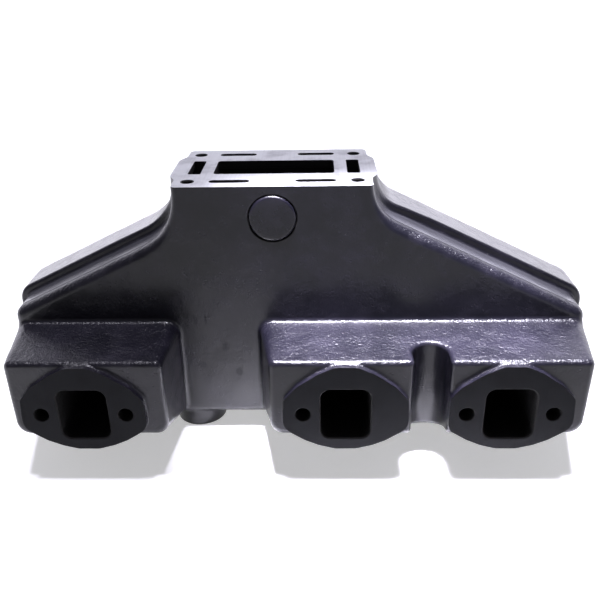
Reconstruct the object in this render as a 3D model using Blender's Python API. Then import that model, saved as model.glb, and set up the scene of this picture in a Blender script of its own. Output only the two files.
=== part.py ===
"""Water-jacketed exhaust manifold with a centre riser, for three exhaust ports.

The manifold is one iron casting with fitted plugs. It is modelled here as its cast members, each a solid
of its own, with a narrow gap where two members meet.

Frame, in metres: +X runs along the engine, +Y points away from the cylinder head and +Z is up.
X = 0 is the middle of the body, Y = 0 the machined face of the port pads, Z = 0 the port centres' height.
"""
import math

import bmesh
import bpy
from mathutils.geometry import convex_hull_2d

GAP = 0.0003                      # clearance kept between two members that meet
WALL = 0.005                      # cast wall of the water jacket

# Ports and their pads, on the cylinder head side
BORE_SPACING = 0.11176            # distance from the middle port to the right one
PORT_X = (-0.1474, 0.0337, 0.0337 + BORE_SPACING)
PORT_WIDTH, PORT_HEIGHT, PORT_CORNER = 0.0345, 0.040, 0.007
BOLT_OFFSET = 0.0294              # bolt hole to port centre
BOLT_HOLE_R = 0.00525
BOLT_SIDES = ((-1, 1), (-1,), (-1, 1))
PAD_THICKNESS = 0.004
PAD_LOBES = ((BOLT_OFFSET, 0.0, 0.0136), (0.0376, 0.0102, 0.0046), (0.025, 0.0115, 0.0135),
             (0.012, 0.020, 0.014), (0.005, 0.0269, 0.0108), (0.031, -0.005, 0.0122),
             (0.022, -0.0105, 0.0125), (0.014, -0.0135, 0.013), (0.006, -0.0195, 0.0093))

# Main body
HALF_LENGTH = 0.2105
PANEL_Y, REAR_Y = 0.0616, 0.156
MIDDLE_Y = (PANEL_Y + REAR_Y) / 2
FLOOR_Z = -0.0432
EDGE_RADIUS = 0.007

# Riser and the shoulders that fall away from it
RISER_X = -0.0158
DECK_Z, DECK_THICKNESS = 0.1428, 0.0055
NECK_HALF = 0.069
NECK_RADIUS = {-1: 0.045, 1: 0.033}
SHOULDER_SLOPE = {-1: math.radians(25.7), 1: math.radians(26.15)}
SHOULDER_POINT = {-1: (0.0987, 0.0947), 1: (0.1124, 0.1011)}    # distance from the riser, height
SHOULDER_END_RADIUS = 0.009
FLOOR_RADIUS = 0.008

# Openings of the riser deck, measured from its centre
MAIN_HALF = (0.0433, 0.0170)
END_PORT_X = (0.0524, 0.0617)
SLOT_X, SLOT_Y, SLOT_WIDTH = (0.0159, 0.0440), 0.0345, 0.0065
DECK_BOLT = (0.0590, 0.0345)
DECK_BOLT_R, DECK_BOLT_DEPTH = 0.0042, 0.020

# Raised water rib along both shoulders, and its bulge at the deck
RIB_HALF_WIDTH = 0.0175
RIB_HEIGHT, RIB_HEIGHT_AT_DECK = 0.0065, 0.0045

# Port boxes: (front x, rear x) of their left and right walls
BOX_TOP_Z, BOX_FRONT_BOTTOM_Z = 0.0394, -0.0192
SINGLE_BOX = ((-0.1980, -HALF_LENGTH), (-0.0904, -0.0888))
TWIN_BOX = ((-0.0180, -0.0282), (0.1980, HALF_LENGTH))
BOX_EDGE = 0.004
GROOVE_X, GROOVE_HALF, GROOVE_DEPTH = 0.0918, 0.0123, 0.0266
GROOVE_WALL = 0.0033
BELLY_REAR_Y = 0.030

# Inside
RUNNER_WALL = 0.0035
COLUMN_R = 0.008
WINDOW_HALF = (0.040, 0.028)
LOG_X, LOG_Y, LOG_Z = (-0.192, 0.192), (0.084, 0.144), (-0.033, 0.031)
THROAT_FOOT_HALF = (0.050, 0.024)

# Plugs and bosses
CORE_PLUG_R, CORE_PLUG_Z, CORE_PLUG_PROUD = 0.0165, 0.1199, 0.0012
REAR_PLUG_X, REAR_PLUG_R, REAR_PLUG_RECESS = (-0.060, 0.060), 0.019, 0.003
DRAIN_X, DRAIN_Y, DRAIN_R, DRAIN_DROP = -0.081, 0.084, 0.0195, 0.013
DRAIN_BORE_R, END_BOSS_R, END_BORE_R, END_BOSS_LENGTH = 0.0084, 0.022, 0.0119, 0.008
PLUG_SOCKET = 0.0095
SPOT_FACE_R, SPOT_FACE_PROUD = 0.0135, 0.002

FINISHES = {
    "painted_iron": ((0.018, 0.018, 0.026, 1.0), 0.32, 0.0),
    "machined_iron": ((0.60, 0.60, 0.61, 1.0), 0.42, 0.9),
    "port_face_iron": ((0.030, 0.030, 0.034, 1.0), 0.50, 0.1),
    "gas_passage_iron": ((0.020, 0.018, 0.017, 1.0), 0.85, 0.2),
    "painted_plug": ((0.022, 0.022, 0.030, 1.0), 0.35, 0.0),
    "plug_brass": ((0.55, 0.38, 0.12, 1.0), 0.35, 1.0),
}


def make_materials():
    """Make one Principled material for each finish."""
    made = {}
    for name, (colour, roughness, metallic) in FINISHES.items():
        material = bpy.data.materials.new(name)
        material.use_nodes = True
        shader = material.node_tree.nodes["Principled BSDF"]
        shader.inputs["Base Color"].default_value = colour
        shader.inputs["Roughness"].default_value = roughness
        shader.inputs["Metallic"].default_value = metallic
        made[name] = material
    return made


def add_object(name, bm, material=None):
    """Turn a bmesh into a smooth-shaded object with sharp creases; without a material it is a cutter."""
    bmesh.ops.recalc_face_normals(bm, faces=bm.faces)
    mesh = bpy.data.meshes.new(name)
    bm.to_mesh(mesh)
    bm.free()
    obj = bpy.data.objects.new(name, mesh)
    bpy.context.scene.collection.objects.link(obj)
    if material is None:
        obj.hide_render = True
        obj.display_type = "WIRE"
    else:
        mesh.materials.append(material)
        mesh.shade_smooth()
        mesh.set_sharp_from_angle(angle=math.radians(35))
    return obj


def combine(obj, others, operation):
    """Join to the object, or cut from it, each of the other solids with a Boolean modifier."""
    for other in others:
        modifier = obj.modifiers.new(other.name, "BOOLEAN")
        modifier.operation = operation
        modifier.object = other
    return obj


def subtract(obj, cutters):
    """Cut each cutter from the object."""
    return combine(obj, cutters, "DIFFERENCE")


def loft(loops):
    """Skin a list of closed loops of points that have one length, with both ends capped."""
    bm = bmesh.new()
    rings = [[bm.verts.new(point) for point in loop] for loop in loops]
    for ring, following in zip(rings, rings[1:]):
        for i in range(len(ring)):
            j = (i + 1) % len(ring)
            bm.faces.new((ring[i], ring[j], following[j], following[i]))
    bm.faces.new(rings[0])
    bm.faces.new(rings[-1])
    return bm


def placed(outline, axis, depth):
    """Place a flat outline at a depth along an axis: (x, z) for Y, (x, y) for Z, (y, z) for X."""
    if axis == "Y":
        return [(a, depth, b) for a, b in outline]
    if axis == "Z":
        return [(a, b, depth) for a, b in outline]
    return [(depth, a, b) for a, b in outline]


def prism(outline, axis, low, high):
    """Extrude a flat outline along an axis."""
    return loft([placed(outline, axis, low), placed(outline, axis, high)])


def arc(centre, radius, start, end, steps=6):
    """Points of an arc, from one angle in degrees to another."""
    angles = [math.radians(start + (end - start) * i / steps) for i in range(steps + 1)]
    return [(centre[0] + radius * math.cos(a), centre[1] + radius * math.sin(a)) for a in angles]


def circle(centre, radius, sides=24):
    """Points of a circle."""
    return arc(centre, radius, 0, 360, sides)[:-1]


def rounded_rectangle(centre, half, radius, steps=4):
    """Points of a rectangle with round corners."""
    points = []
    for quarter, (sx, sy) in enumerate(((1, 1), (-1, 1), (-1, -1), (1, -1))):
        corner = (centre[0] + sx * (half[0] - radius), centre[1] + sy * (half[1] - radius))
        points += arc(corner, radius, 90 * quarter, 90 * quarter + 90, steps)
    return points


def rectangle(low, high):
    """Corners of a rectangle."""
    return [(low[0], low[1]), (high[0], low[1]), (high[0], high[1]), (low[0], high[1])]


def offset(outline, distance, closed=True):
    """Move a counter-clockwise outline outwards by a distance, corner by corner."""
    moved = []
    count = len(outline)
    for i, (x, y) in enumerate(outline):
        before = outline[i - 1] if closed or i else None
        after = outline[(i + 1) % count] if closed or i + 1 < count else None
        normals = []
        for start, end in ((before, (x, y)), ((x, y), after)):
            if start is not None and end is not None:
                length = math.hypot(end[0] - start[0], end[1] - start[1])
                normals.append(((end[1] - start[1]) / length, (start[0] - end[0]) / length))
        nx, ny = (sum(part) / len(normals) for part in zip(*normals))
        square = nx * nx + ny * ny
        here = distance[i] if isinstance(distance, list) else distance
        moved.append((x + nx * here / square, y + ny * here / square))
    return moved


def shoulder(side, top):
    """Outline of one shoulder, from the neck at a given height to the end wall, seen from the head side."""
    radius, slope = NECK_RADIUS[side], SHOULDER_SLOPE[side]
    reach, height = SHOULDER_POINT[side]
    fall = math.tan(slope)
    # the neck's arc leaves the upright neck and runs into the slope
    centre_x = NECK_HALF + radius
    foot_x = centre_x - radius * math.sin(slope)
    centre_z = height - fall * (foot_x - reach) + radius * math.cos(slope)
    start = 180.0
    if centre_z > top:
        start += math.degrees(math.asin((centre_z - top) / radius))
    neck = arc((centre_x, centre_z), radius, start, 270 - math.degrees(slope), 8)
    if centre_z < top:
        neck.insert(0, (NECK_HALF, top))
    # the slope then rounds over into the end wall
    end_x = HALF_LENGTH - side * RISER_X
    round_x = end_x - SHOULDER_END_RADIUS
    round_z = (height - fall * (round_x - reach)) - SHOULDER_END_RADIUS / math.cos(slope)
    end = arc((round_x, round_z), SHOULDER_END_RADIUS, 90 - math.degrees(slope), 0, 4)
    return [(RISER_X + side * x, z) for x, z in neck + end]


def body_outline(top):
    """Outline of the main body up to a height, counter-clockwise, seen from the head side."""
    left, right = shoulder(-1, top), shoulder(1, top)
    edge = HALF_LENGTH - FLOOR_RADIUS
    floor = FLOOR_Z + FLOOR_RADIUS
    left_foot = arc((-edge, floor), FLOOR_RADIUS, 180, 270, 3)
    right_foot = arc((edge, floor), FLOOR_RADIUS, 270, 360, 3)
    return left_foot + right_foot + right[::-1] + left


def rounded_slab(outline, top, front, rear, radius, steps=3):
    """Extrude the body outline along Y, with its front and rear edges rounded but the top left flat."""
    sections = []
    for i in range(steps + 1):
        angle = math.radians(90 * i / steps)
        sections.append((front + radius * (1 - math.sin(angle)), radius * (1 - math.cos(angle))))
    sections = sections[::-1]
    sections += [(front + rear - y, inset) for y, inset in sections[::-1]]
    loops = []
    for y, inset in sections:
        loop = offset(outline, -inset)
        flat = [top if abs(old[1] - top) < GAP else new[1] for old, new in zip(outline, loop)]
        loops.append([(x, y, z) for (x, _), z in zip(loop, flat)])
    return loft(loops)


def pad_outline(centre_x):
    """Outline of a port pad: the hull of its bolt lobes, shoulders, crown and foot."""
    points = []
    for x, z, radius in PAD_LOBES:
        for side in (-1, 1):
            points += circle((centre_x + side * x, z), radius, 32)
    return [points[i] for i in convex_hull_2d(points)]


def port_opening(centre_x, grow=0.0):
    """Outline of a port opening, grown by a wall."""
    half = (PORT_WIDTH / 2 + grow, PORT_HEIGHT / 2 + grow)
    return rounded_rectangle((centre_x, 0.0), half, PORT_CORNER + grow)


def bolt_positions():
    """Yield the port number, a letter and the x of each bolt hole."""
    for number, (x, sides) in enumerate(zip(PORT_X, BOLT_SIDES), start=1):
        for side, letter in zip(sides, "ab"):
            yield number, letter, x + side * BOLT_OFFSET


def bolt_cutter(name, x, low, high):
    """A cutter for one bolt hole along Y."""
    return add_object(name, prism(circle((x, 0.0), BOLT_HOLE_R, 20), "Y", low, high))


def groove_cutter(name):
    """A cutter for the groove that divides the twin box and trims the pads beside it."""
    centre_y = PAD_THICKNESS + GROOVE_DEPTH - GROOVE_HALF
    groove = [(GROOVE_X - GROOVE_HALF, -0.01), (GROOVE_X + GROOVE_HALF, -0.01)]
    groove += arc((GROOVE_X, centre_y), GROOVE_HALF, 0, 180, 10)
    return add_object(name, prism(groove, "Z", -0.08, 0.08))


def make_pads(materials):
    """The three raised pads that seal against the cylinder head."""
    for number, x in enumerate(PORT_X, start=1):
        pad = add_object(f"port_pad_{number}", prism(pad_outline(x), "Y", 0.0, PAD_THICKNESS - GAP),
                         materials["port_face_iron"])
        cutters = [add_object(f"cut_pad_port_{number}", prism(port_opening(x), "Y", -0.01, 0.02))]
        for port, letter, bolt_x in bolt_positions():
            if port == number:
                cutters.append(bolt_cutter(f"cut_pad_bolt_{port}{letter}", bolt_x, -0.01, 0.02))
        if number == 3:
            cutters.append(groove_cutter("cut_pad_groove"))
        subtract(pad, cutters)


def box_blank(walls, shrink):
    """A drafted block between two side walls, or with a shrink its cavity, open at the rear."""
    (left_front, left_rear), (right_front, right_rear) = walls
    front = PAD_THICKNESS + shrink
    rear = PANEL_Y - GAP if not shrink else PANEL_Y + WALL
    loops = []
    for y, left, right, bottom in ((front, left_front, right_front, BOX_FRONT_BOTTOM_Z),
                                   (rear, left_rear, right_rear, FLOOR_Z)):
        low = (left + shrink, bottom + shrink)
        high = (right - shrink, BOX_TOP_Z - shrink)
        loops.append(placed(rectangle(low, high), "Y", y))
    return loft(loops)


def make_box(name, walls, cavities, ports, materials):
    """A water-jacketed box round one or two ports, with its edges rounded and its rear open."""
    blank = box_blank(walls, 0.0)
    edges = [e for e in blank.edges if any(v.co.y < MIDDLE_Y / 4 for v in e.verts)]
    bmesh.ops.bevel(blank, geom=edges, offset=BOX_EDGE, segments=2, profile=0.5, affect="EDGES")
    box = add_object(name, blank, materials["painted_iron"])
    cutters = [add_object(f"cut_{name}_cavity_{i}", box_blank(cavity, WALL))
               for i, cavity in enumerate(cavities)]
    for number in ports:
        x = PORT_X[number - 1]
        # the runner is lower than the front of the box, so a belly covers it from below
        belly = prism(port_opening(x, 2 * RUNNER_WALL + GAP), "Y", PAD_THICKNESS, BELLY_REAR_Y)
        combine(box, [add_object(f"belly_{number}", belly)], "UNION")
        clearance = prism(port_opening(x, RUNNER_WALL + GAP), "Y", PAD_THICKNESS + WALL, PANEL_Y + WALL)
        cutters.append(add_object(f"cut_{name}_runner_{number}", clearance))
        cutters.append(add_object(f"cut_{name}_port_{number}", prism(port_opening(x), "Y", -0.01, 0.02)))
    for port, letter, x in bolt_positions():
        if port in ports:
            cutters.append(bolt_cutter(f"cut_{name}_bolt_{port}{letter}", x, -0.01, 0.02))
    return subtract(box, cutters)


def make_boxes(materials):
    """The single box on the left and the twin box on the right, which a groove divides."""
    make_box("single_port_box", SINGLE_BOX, [SINGLE_BOX], (1,), materials)
    groove_left = GROOVE_X - GROOVE_HALF
    groove_right = GROOVE_X + GROOVE_HALF
    thin = WALL - GROOVE_WALL
    cavities = [(TWIN_BOX[0], (groove_left + thin,) * 2), ((groove_right - thin,) * 2, TWIN_BOX[1])]
    twin = make_box("twin_port_box", TWIN_BOX, cavities, (2, 3), materials)
    subtract(twin, [groove_cutter("cut_groove")])


def make_water_jacket(materials):
    """The hollow outer wall of the body, with windows to the boxes and holes for every plug."""
    top = DECK_Z - DECK_THICKNESS - GAP
    outline = body_outline(top)
    jacket = add_object("water_jacket", rounded_slab(outline, top, PANEL_Y, REAR_Y, EDGE_RADIUS),
                        materials["painted_iron"])
    # the cavity under the shoulders stops short of the neck's solid corners
    ceiling = DECK_Z - DECK_BOLT_DEPTH - 2 * WALL
    inside = [(x, min(z, ceiling)) for x, z in offset(outline, -WALL)]
    inside = [p for i, p in enumerate(inside) if math.dist(p, inside[i - 1]) > GAP]
    cutters = [add_object("cut_cavity", prism(inside, "Y", PANEL_Y + WALL, REAR_Y - WALL))]
    depth = MIDDLE_Y - PANEL_Y - WALL
    cross = [(MAIN_HALF[0] + WALL, depth), (MAIN_HALF[0] + WALL, MAIN_HALF[1]),
             (NECK_HALF - WALL, MAIN_HALF[1])]
    plus = []
    for sx, sy, order in ((1, 1, cross[::-1]), (-1, 1, cross), (-1, -1, cross[::-1]), (1, -1, cross)):
        plus += [(RISER_X + sx * x, MIDDLE_Y + sy * y) for x, y in order]
    cutters.append(add_object("cut_neck", prism(plus, "Z", ceiling - WALL, DECK_Z)))
    for number, x in enumerate(PORT_X, start=1):
        low = (x - WINDOW_HALF[0], -WINDOW_HALF[1])
        high = (x + WINDOW_HALF[0], WINDOW_HALF[1])
        window = prism(rectangle(low, high), "Y", PANEL_Y - WALL, PANEL_Y + 1.5 * WALL)
        cutters.append(add_object(f"cut_window_{number}", window))
    front_hole = circle((RISER_X, CORE_PLUG_Z), CORE_PLUG_R + GAP, 40)
    cutters.append(add_object("cut_front_core", prism(front_hole, "Y", 0.05, PANEL_Y + 1.5 * WALL)))
    for i, x in enumerate(REAR_PLUG_X):
        hole = circle((x, 0.0), REAR_PLUG_R + GAP, 32)
        cutters.append(add_object(f"cut_rear_core_{i}", prism(hole, "Y", REAR_Y - 1.5 * WALL, 0.17)))
    for port, letter, x in bolt_positions():
        cutters.append(bolt_cutter(f"cut_rear_bolt_{port}{letter}", x, REAR_Y - 1.5 * WALL, 0.17))
    for sx in (-1, 1):
        for sy in (-1, 1):
            centre = (RISER_X + sx * DECK_BOLT[0], MIDDLE_Y + sy * DECK_BOLT[1])
            hole = prism(circle(centre, DECK_BOLT_R, 16), "Z", DECK_Z - DECK_BOLT_DEPTH, DECK_Z)
            cutters.append(add_object(f"cut_neck_bolt_{sx}_{sy}", hole))
    drain = circle((DRAIN_X, DRAIN_Y), DRAIN_BORE_R, 20)
    cutters.append(add_object("cut_drain", prism(drain, "Z", -0.06, FLOOR_Z + 1.5 * WALL)))
    for side in (-1, 1):
        hole = circle((MIDDLE_Y, 0.0), END_BORE_R, 24)
        reach = sorted((side * (HALF_LENGTH - 1.5 * WALL), side * (HALF_LENGTH + WALL)))
        cutters.append(add_object(f"cut_end_{side}", prism(hole, "X", *reach)))
    subtract(jacket, cutters)


def deck_outline():
    """Outline of the riser deck: a rectangle with round corners that bulges at the middle of its ends."""
    half_y = (REAR_Y - PANEL_Y) / 2
    corner, rise = 0.004, 0.006
    side = []
    for i in range(9):
        blend = (1 - math.cos(math.pi * i / 8)) / 2
        side.append((NECK_HALF + RIB_HEIGHT_AT_DECK * blend, -(RIB_HALF_WIDTH + rise) + rise * i / 8))
    side += [(x, -y) for x, y in side[::-1]]
    right = arc((NECK_HALF - corner, -half_y + corner), corner, 270, 360, 3)
    right += side
    right += arc((NECK_HALF - corner, half_y - corner), corner, 0, 90, 3)
    both = right + [(-x, -y) for x, y in right]
    return [(RISER_X + x, MIDDLE_Y + y) for x, y in both]


def make_riser_flange(materials):
    """The machined deck that the riser bolts to, with its gas, water and bolt openings."""
    low = DECK_Z - DECK_THICKNESS
    deck = add_object("riser_flange", prism(deck_outline(), "Z", low, DECK_Z), materials["machined_iron"])
    openings = {"main": rounded_rectangle((RISER_X, MIDDLE_Y), MAIN_HALF, 0.003)}
    slot_half = ((SLOT_X[1] - SLOT_X[0]) / 2, SLOT_WIDTH / 2)
    end_half = ((END_PORT_X[1] - END_PORT_X[0]) / 2, MAIN_HALF[1])
    for sx in (-1, 1):
        end_centre = (RISER_X + sx * sum(END_PORT_X) / 2, MIDDLE_Y)
        openings[f"end_{sx}"] = rounded_rectangle(end_centre, end_half, 0.001, 2)
        for sy in (-1, 1):
            slot_centre = (RISER_X + sx * sum(SLOT_X) / 2, MIDDLE_Y + sy * SLOT_Y)
            openings[f"slot_{sx}_{sy}"] = rounded_rectangle(slot_centre, slot_half, SLOT_WIDTH / 2 - GAP)
            bolt_centre = (RISER_X + sx * DECK_BOLT[0], MIDDLE_Y + sy * DECK_BOLT[1])
            openings[f"bolt_{sx}_{sy}"] = circle(bolt_centre, DECK_BOLT_R, 16)
    subtract(deck, [add_object(f"cut_deck_{name}", prism(outline, "Z", low - WALL, DECK_Z + WALL))
                    for name, outline in openings.items()])


def make_ribs(materials):
    """The raised ribs that carry water up each shoulder, from the end wall to the deck."""
    top = DECK_Z - DECK_THICKNESS - GAP
    for side, name in ((-1, "left_shoulder_rib"), (1, "right_shoulder_rib")):
        path = shoulder(side, top) + [(side * HALF_LENGTH, END_BOSS_R + WALL)]
        if side > 0:
            path = path[::-1]
        travelled = [0.0]
        for start, end in zip(path, path[1:]):
            travelled.append(travelled[-1] + math.dist(start, end))
        if side > 0:
            travelled = [travelled[-1] - t for t in travelled]
        spread = NECK_RADIUS[side]
        heights = [RIB_HEIGHT_AT_DECK + (RIB_HEIGHT - RIB_HEIGHT_AT_DECK) * min(1.0, t / spread)
                   for t in travelled]
        section = offset(path, GAP, closed=False) + offset(path, heights, closed=False)[::-1]
        section = [(x, min(z, top)) for x, z in section]
        rib = prism(section, "Y", MIDDLE_Y - RIB_HALF_WIDTH, MIDDLE_Y + RIB_HALF_WIDTH)
        add_object(name, rib, materials["painted_iron"])


def make_gas_passages(materials):
    """The runners, the log that gathers them and the throat that rises to the deck."""
    gas = materials["gas_passage_iron"]
    for number, x in enumerate(PORT_X, start=1):
        front, rear = PAD_THICKNESS + WALL + GAP, LOG_Y[0] - GAP
        runner = add_object(f"port_runner_{number}",
                            prism(port_opening(x, RUNNER_WALL), "Y", front, rear), gas)
        subtract(runner, [add_object(f"cut_runner_{number}", prism(port_opening(x), "Y", 0.0, 0.1))])
    outer = rounded_rectangle((sum(LOG_Y) / 2, sum(LOG_Z) / 2),
                              ((LOG_Y[1] - LOG_Y[0]) / 2, (LOG_Z[1] - LOG_Z[0]) / 2), 0.010)
    inner = offset(outer, -RUNNER_WALL)
    log = add_object("exhaust_log", prism(outer, "X", *LOG_X), gas)
    cutters = [add_object("cut_log", prism(inner, "X", LOG_X[0] + RUNNER_WALL, LOG_X[1] - RUNNER_WALL))]
    for number, x in enumerate(PORT_X, start=1):
        cutters.append(add_object(f"cut_log_port_{number}", prism(port_opening(x), "Y", 0.08, 0.10)))
    for port, letter, x in bolt_positions():
        for face, y in zip("fr", LOG_Y):
            hole = prism(circle((x, 0.0), COLUMN_R + GAP, 20), "Y", y - WALL, y + WALL)
            cutters.append(add_object(f"cut_log_column_{port}{letter}{face}", hole))
    foot_half = tuple(half - RUNNER_WALL for half in THROAT_FOOT_HALF)
    foot = rounded_rectangle((RISER_X, MIDDLE_Y), foot_half, 0.008)
    cutters.append(add_object("cut_log_throat", prism(foot, "Z", LOG_Z[1] - 2 * RUNNER_WALL, 0.05)))
    subtract(log, cutters)

    low, high = LOG_Z[1] + GAP, DECK_Z - DECK_THICKNESS - GAP
    outside, inside = [], []
    for z, half, corner in ((low, THROAT_FOOT_HALF, 0.0115),
                            (high, (MAIN_HALF[0] + RUNNER_WALL, MAIN_HALF[1] + RUNNER_WALL), 0.0065)):
        outside.append(placed(rounded_rectangle((RISER_X, MIDDLE_Y), half, corner), "Z", z))
        inner_half = tuple(h - RUNNER_WALL for h in half)
        reach = z - WALL if z == low else z + WALL
        inner_loop = rounded_rectangle((RISER_X, MIDDLE_Y), inner_half, corner - RUNNER_WALL)
        inside.append(placed(inner_loop, "Z", reach))
    throat = add_object("riser_throat", loft(outside), gas)
    subtract(throat, [add_object("cut_throat", loft(inside))])


def make_bolt_columns(materials):
    """Cast tubes that carry the long manifold bolts from the rear wall to the port pads."""
    for port, letter, x in bolt_positions():
        front, rear = PAD_THICKNESS + WALL + GAP, REAR_Y - WALL - GAP
        column = add_object(f"bolt_column_{port}{letter}",
                            prism(circle((x, 0.0), COLUMN_R, 24), "Y", front, rear),
                            materials["painted_iron"])
        subtract(column, [bolt_cutter(f"cut_column_{port}{letter}", x, 0.0, 0.17)])
        face = add_object(f"bolt_face_{port}{letter}",
                          prism(circle((x, 0.0), SPOT_FACE_R, 28), "Y", REAR_Y + GAP,
                                REAR_Y + SPOT_FACE_PROUD), materials["machined_iron"])
        subtract(face, [bolt_cutter(f"cut_face_{port}{letter}", x, 0.14, 0.17)])


def plug_with_socket(name, centre, radius, axis, low, high, mouth, material):
    """A pipe plug with a square socket in the end named by mouth, which is low or high."""
    plug = add_object(name, prism(circle(centre, radius, 24), axis, low, high), material)
    half = PLUG_SOCKET / 2
    square = rectangle((centre[0] - half, centre[1] - half), (centre[0] + half, centre[1] + half))
    depth = 0.6 * (high - low)
    reach = (low - WALL, low + depth) if mouth == "low" else (high - depth, high + WALL)
    subtract(plug, [add_object(f"cut_{name}", prism(square, axis, *reach))])


def make_bosses_and_plugs(materials):
    """The drain and end bosses, the core plugs and the pipe plugs."""
    painted = materials["painted_iron"]
    drain_centre = (DRAIN_X, DRAIN_Y)
    boss = add_object("drain_boss", prism(circle(drain_centre, DRAIN_R, 40), "Z", FLOOR_Z - DRAIN_DROP,
                                          FLOOR_Z - GAP), painted)
    bore = prism(circle(drain_centre, DRAIN_BORE_R, 20), "Z", FLOOR_Z - 2 * DRAIN_DROP, 0.0)
    subtract(boss, [add_object("cut_drain_boss", bore)])
    plug_with_socket("drain_plug", drain_centre, DRAIN_BORE_R - GAP, "Z", FLOOR_Z - DRAIN_DROP + GAP,
                     FLOOR_Z, "low", materials["plug_brass"])

    for side, name in ((-1, "left_end_boss"), (1, "right_end_boss")):
        reach = sorted((side * (HALF_LENGTH + GAP), side * (HALF_LENGTH + END_BOSS_LENGTH)))
        end = add_object(name, prism(circle((MIDDLE_Y, 0.0), END_BOSS_R, 40), "X", *reach), painted)
        bore = prism(circle((MIDDLE_Y, 0.0), END_BORE_R, 24), "X", reach[0] - WALL, reach[1] + WALL)
        subtract(end, [add_object(f"cut_{name}", bore)])
    plug_with_socket("left_end_plug", (MIDDLE_Y, 0.0), END_BORE_R - GAP, "X",
                     -(HALF_LENGTH + END_BOSS_LENGTH) + GAP, -HALF_LENGTH + WALL / 2, "low",
                     materials["plug_brass"])

    plug_finish = materials["painted_plug"]
    add_object("front_core_plug", prism(circle((RISER_X, CORE_PLUG_Z), CORE_PLUG_R, 40), "Y",
                                        PANEL_Y - CORE_PLUG_PROUD, PANEL_Y + 0.8 * WALL), plug_finish)
    for x, name in zip(REAR_PLUG_X, ("rear_core_plug_left", "rear_core_plug_right")):
        cup = add_object(name, prism(circle((x, 0.0), REAR_PLUG_R, 32), "Y",
                                     REAR_Y - 1.2 * WALL, REAR_Y - GAP), plug_finish)
        dish = prism(circle((x, 0.0), REAR_PLUG_R - 0.0015, 32), "Y", REAR_Y - REAR_PLUG_RECESS, 0.17)
        subtract(cup, [add_object(f"cut_{name}", dish)])


def main():
    """Clear the scene and build every member of the manifold."""
    for obj in list(bpy.data.objects):
        bpy.data.objects.remove(obj, do_unlink=True)
    materials = make_materials()
    make_pads(materials)
    make_boxes(materials)
    make_water_jacket(materials)
    make_riser_flange(materials)
    make_ribs(materials)
    make_gas_passages(materials)
    make_bolt_columns(materials)
    make_bosses_and_plugs(materials)


main()
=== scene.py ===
"""Visual model of a water-jacketed exhaust manifold with a centre riser.

The manifold is made the way a foundry makes it. Each member is first a cast blank, meshed from a distance
field so that its fillets and rounded edges are real geometry. Flat faces, ports, bores and slots are then
machined into the blank with crisp cutters. Everything is in metres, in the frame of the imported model: +X
along the engine, +Y away from the cylinder head, +Z up, with the port faces at Y = 0.
"""
from __future__ import annotations

import logging
import math
from dataclasses import dataclass, field
from enum import Enum
from typing import Callable, Sequence

import bmesh
import bpy
import numpy as np
from mathutils import Matrix, Vector
from mathutils.geometry import convex_hull_2d

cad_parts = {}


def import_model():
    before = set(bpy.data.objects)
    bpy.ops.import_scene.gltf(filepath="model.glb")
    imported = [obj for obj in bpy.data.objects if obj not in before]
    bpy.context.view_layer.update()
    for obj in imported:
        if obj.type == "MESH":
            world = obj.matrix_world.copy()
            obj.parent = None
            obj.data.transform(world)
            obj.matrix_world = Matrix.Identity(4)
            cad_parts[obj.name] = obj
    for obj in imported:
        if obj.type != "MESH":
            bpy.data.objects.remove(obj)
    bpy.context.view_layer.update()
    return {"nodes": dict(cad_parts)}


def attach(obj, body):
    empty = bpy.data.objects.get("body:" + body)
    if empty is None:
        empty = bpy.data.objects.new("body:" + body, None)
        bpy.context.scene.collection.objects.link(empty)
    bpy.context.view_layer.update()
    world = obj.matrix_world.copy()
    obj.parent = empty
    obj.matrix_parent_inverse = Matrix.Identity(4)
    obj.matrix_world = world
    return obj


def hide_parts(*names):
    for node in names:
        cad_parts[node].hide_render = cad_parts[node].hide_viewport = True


LOG = logging.getLogger("manifold")
Array = np.ndarray
Point = tuple[float, float]
Triple = tuple[float, float, float]
DistanceField = Callable[[Array, Array, Array], Array]
ROOT = "root"


# ---- Outlines ----

class Axis(Enum):
    """The axis along which a flat outline is extruded, with the order of its own two coordinates."""

    X = (1, 2, 0)
    Y = (0, 2, 1)
    Z = (0, 1, 2)


def arc(centre: Point, radius: float, start: float, end: float, steps: int = 24) -> list[Point]:
    """Sample an arc.

    Args:
        centre: Centre of the arc.
        radius: Its radius.
        start: First angle in degrees.
        end: Last angle in degrees.
        steps: Number of chords.

    Returns:
        The points from the first angle to the last.
    """
    angles = np.radians(np.linspace(start, end, steps + 1))
    return [(centre[0] + radius * math.cos(a), centre[1] + radius * math.sin(a)) for a in angles]


def circle(centre: Point, radius: float, sides: int = 64) -> list[Point]:
    """Sample a full circle without repeating its first point."""
    return arc(centre, radius, 0, 360, sides)[:-1]


def rounded_rectangle(centre: Point, half: Point, radius: float, steps: int = 10) -> list[Point]:
    """Outline a rectangle with round corners.

    Args:
        centre: Middle of the rectangle.
        half: Half of its width and of its height.
        radius: Corner radius.
        steps: Chords in each corner.

    Returns:
        The outline, counter-clockwise.
    """
    points: list[Point] = []
    for quarter, (sx, sy) in enumerate(((1, 1), (-1, 1), (-1, -1), (1, -1))):
        corner = (centre[0] + sx * (half[0] - radius), centre[1] + sy * (half[1] - radius))
        points += arc(corner, radius, 90 * quarter, 90 * quarter + 90, steps)
    return points


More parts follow.
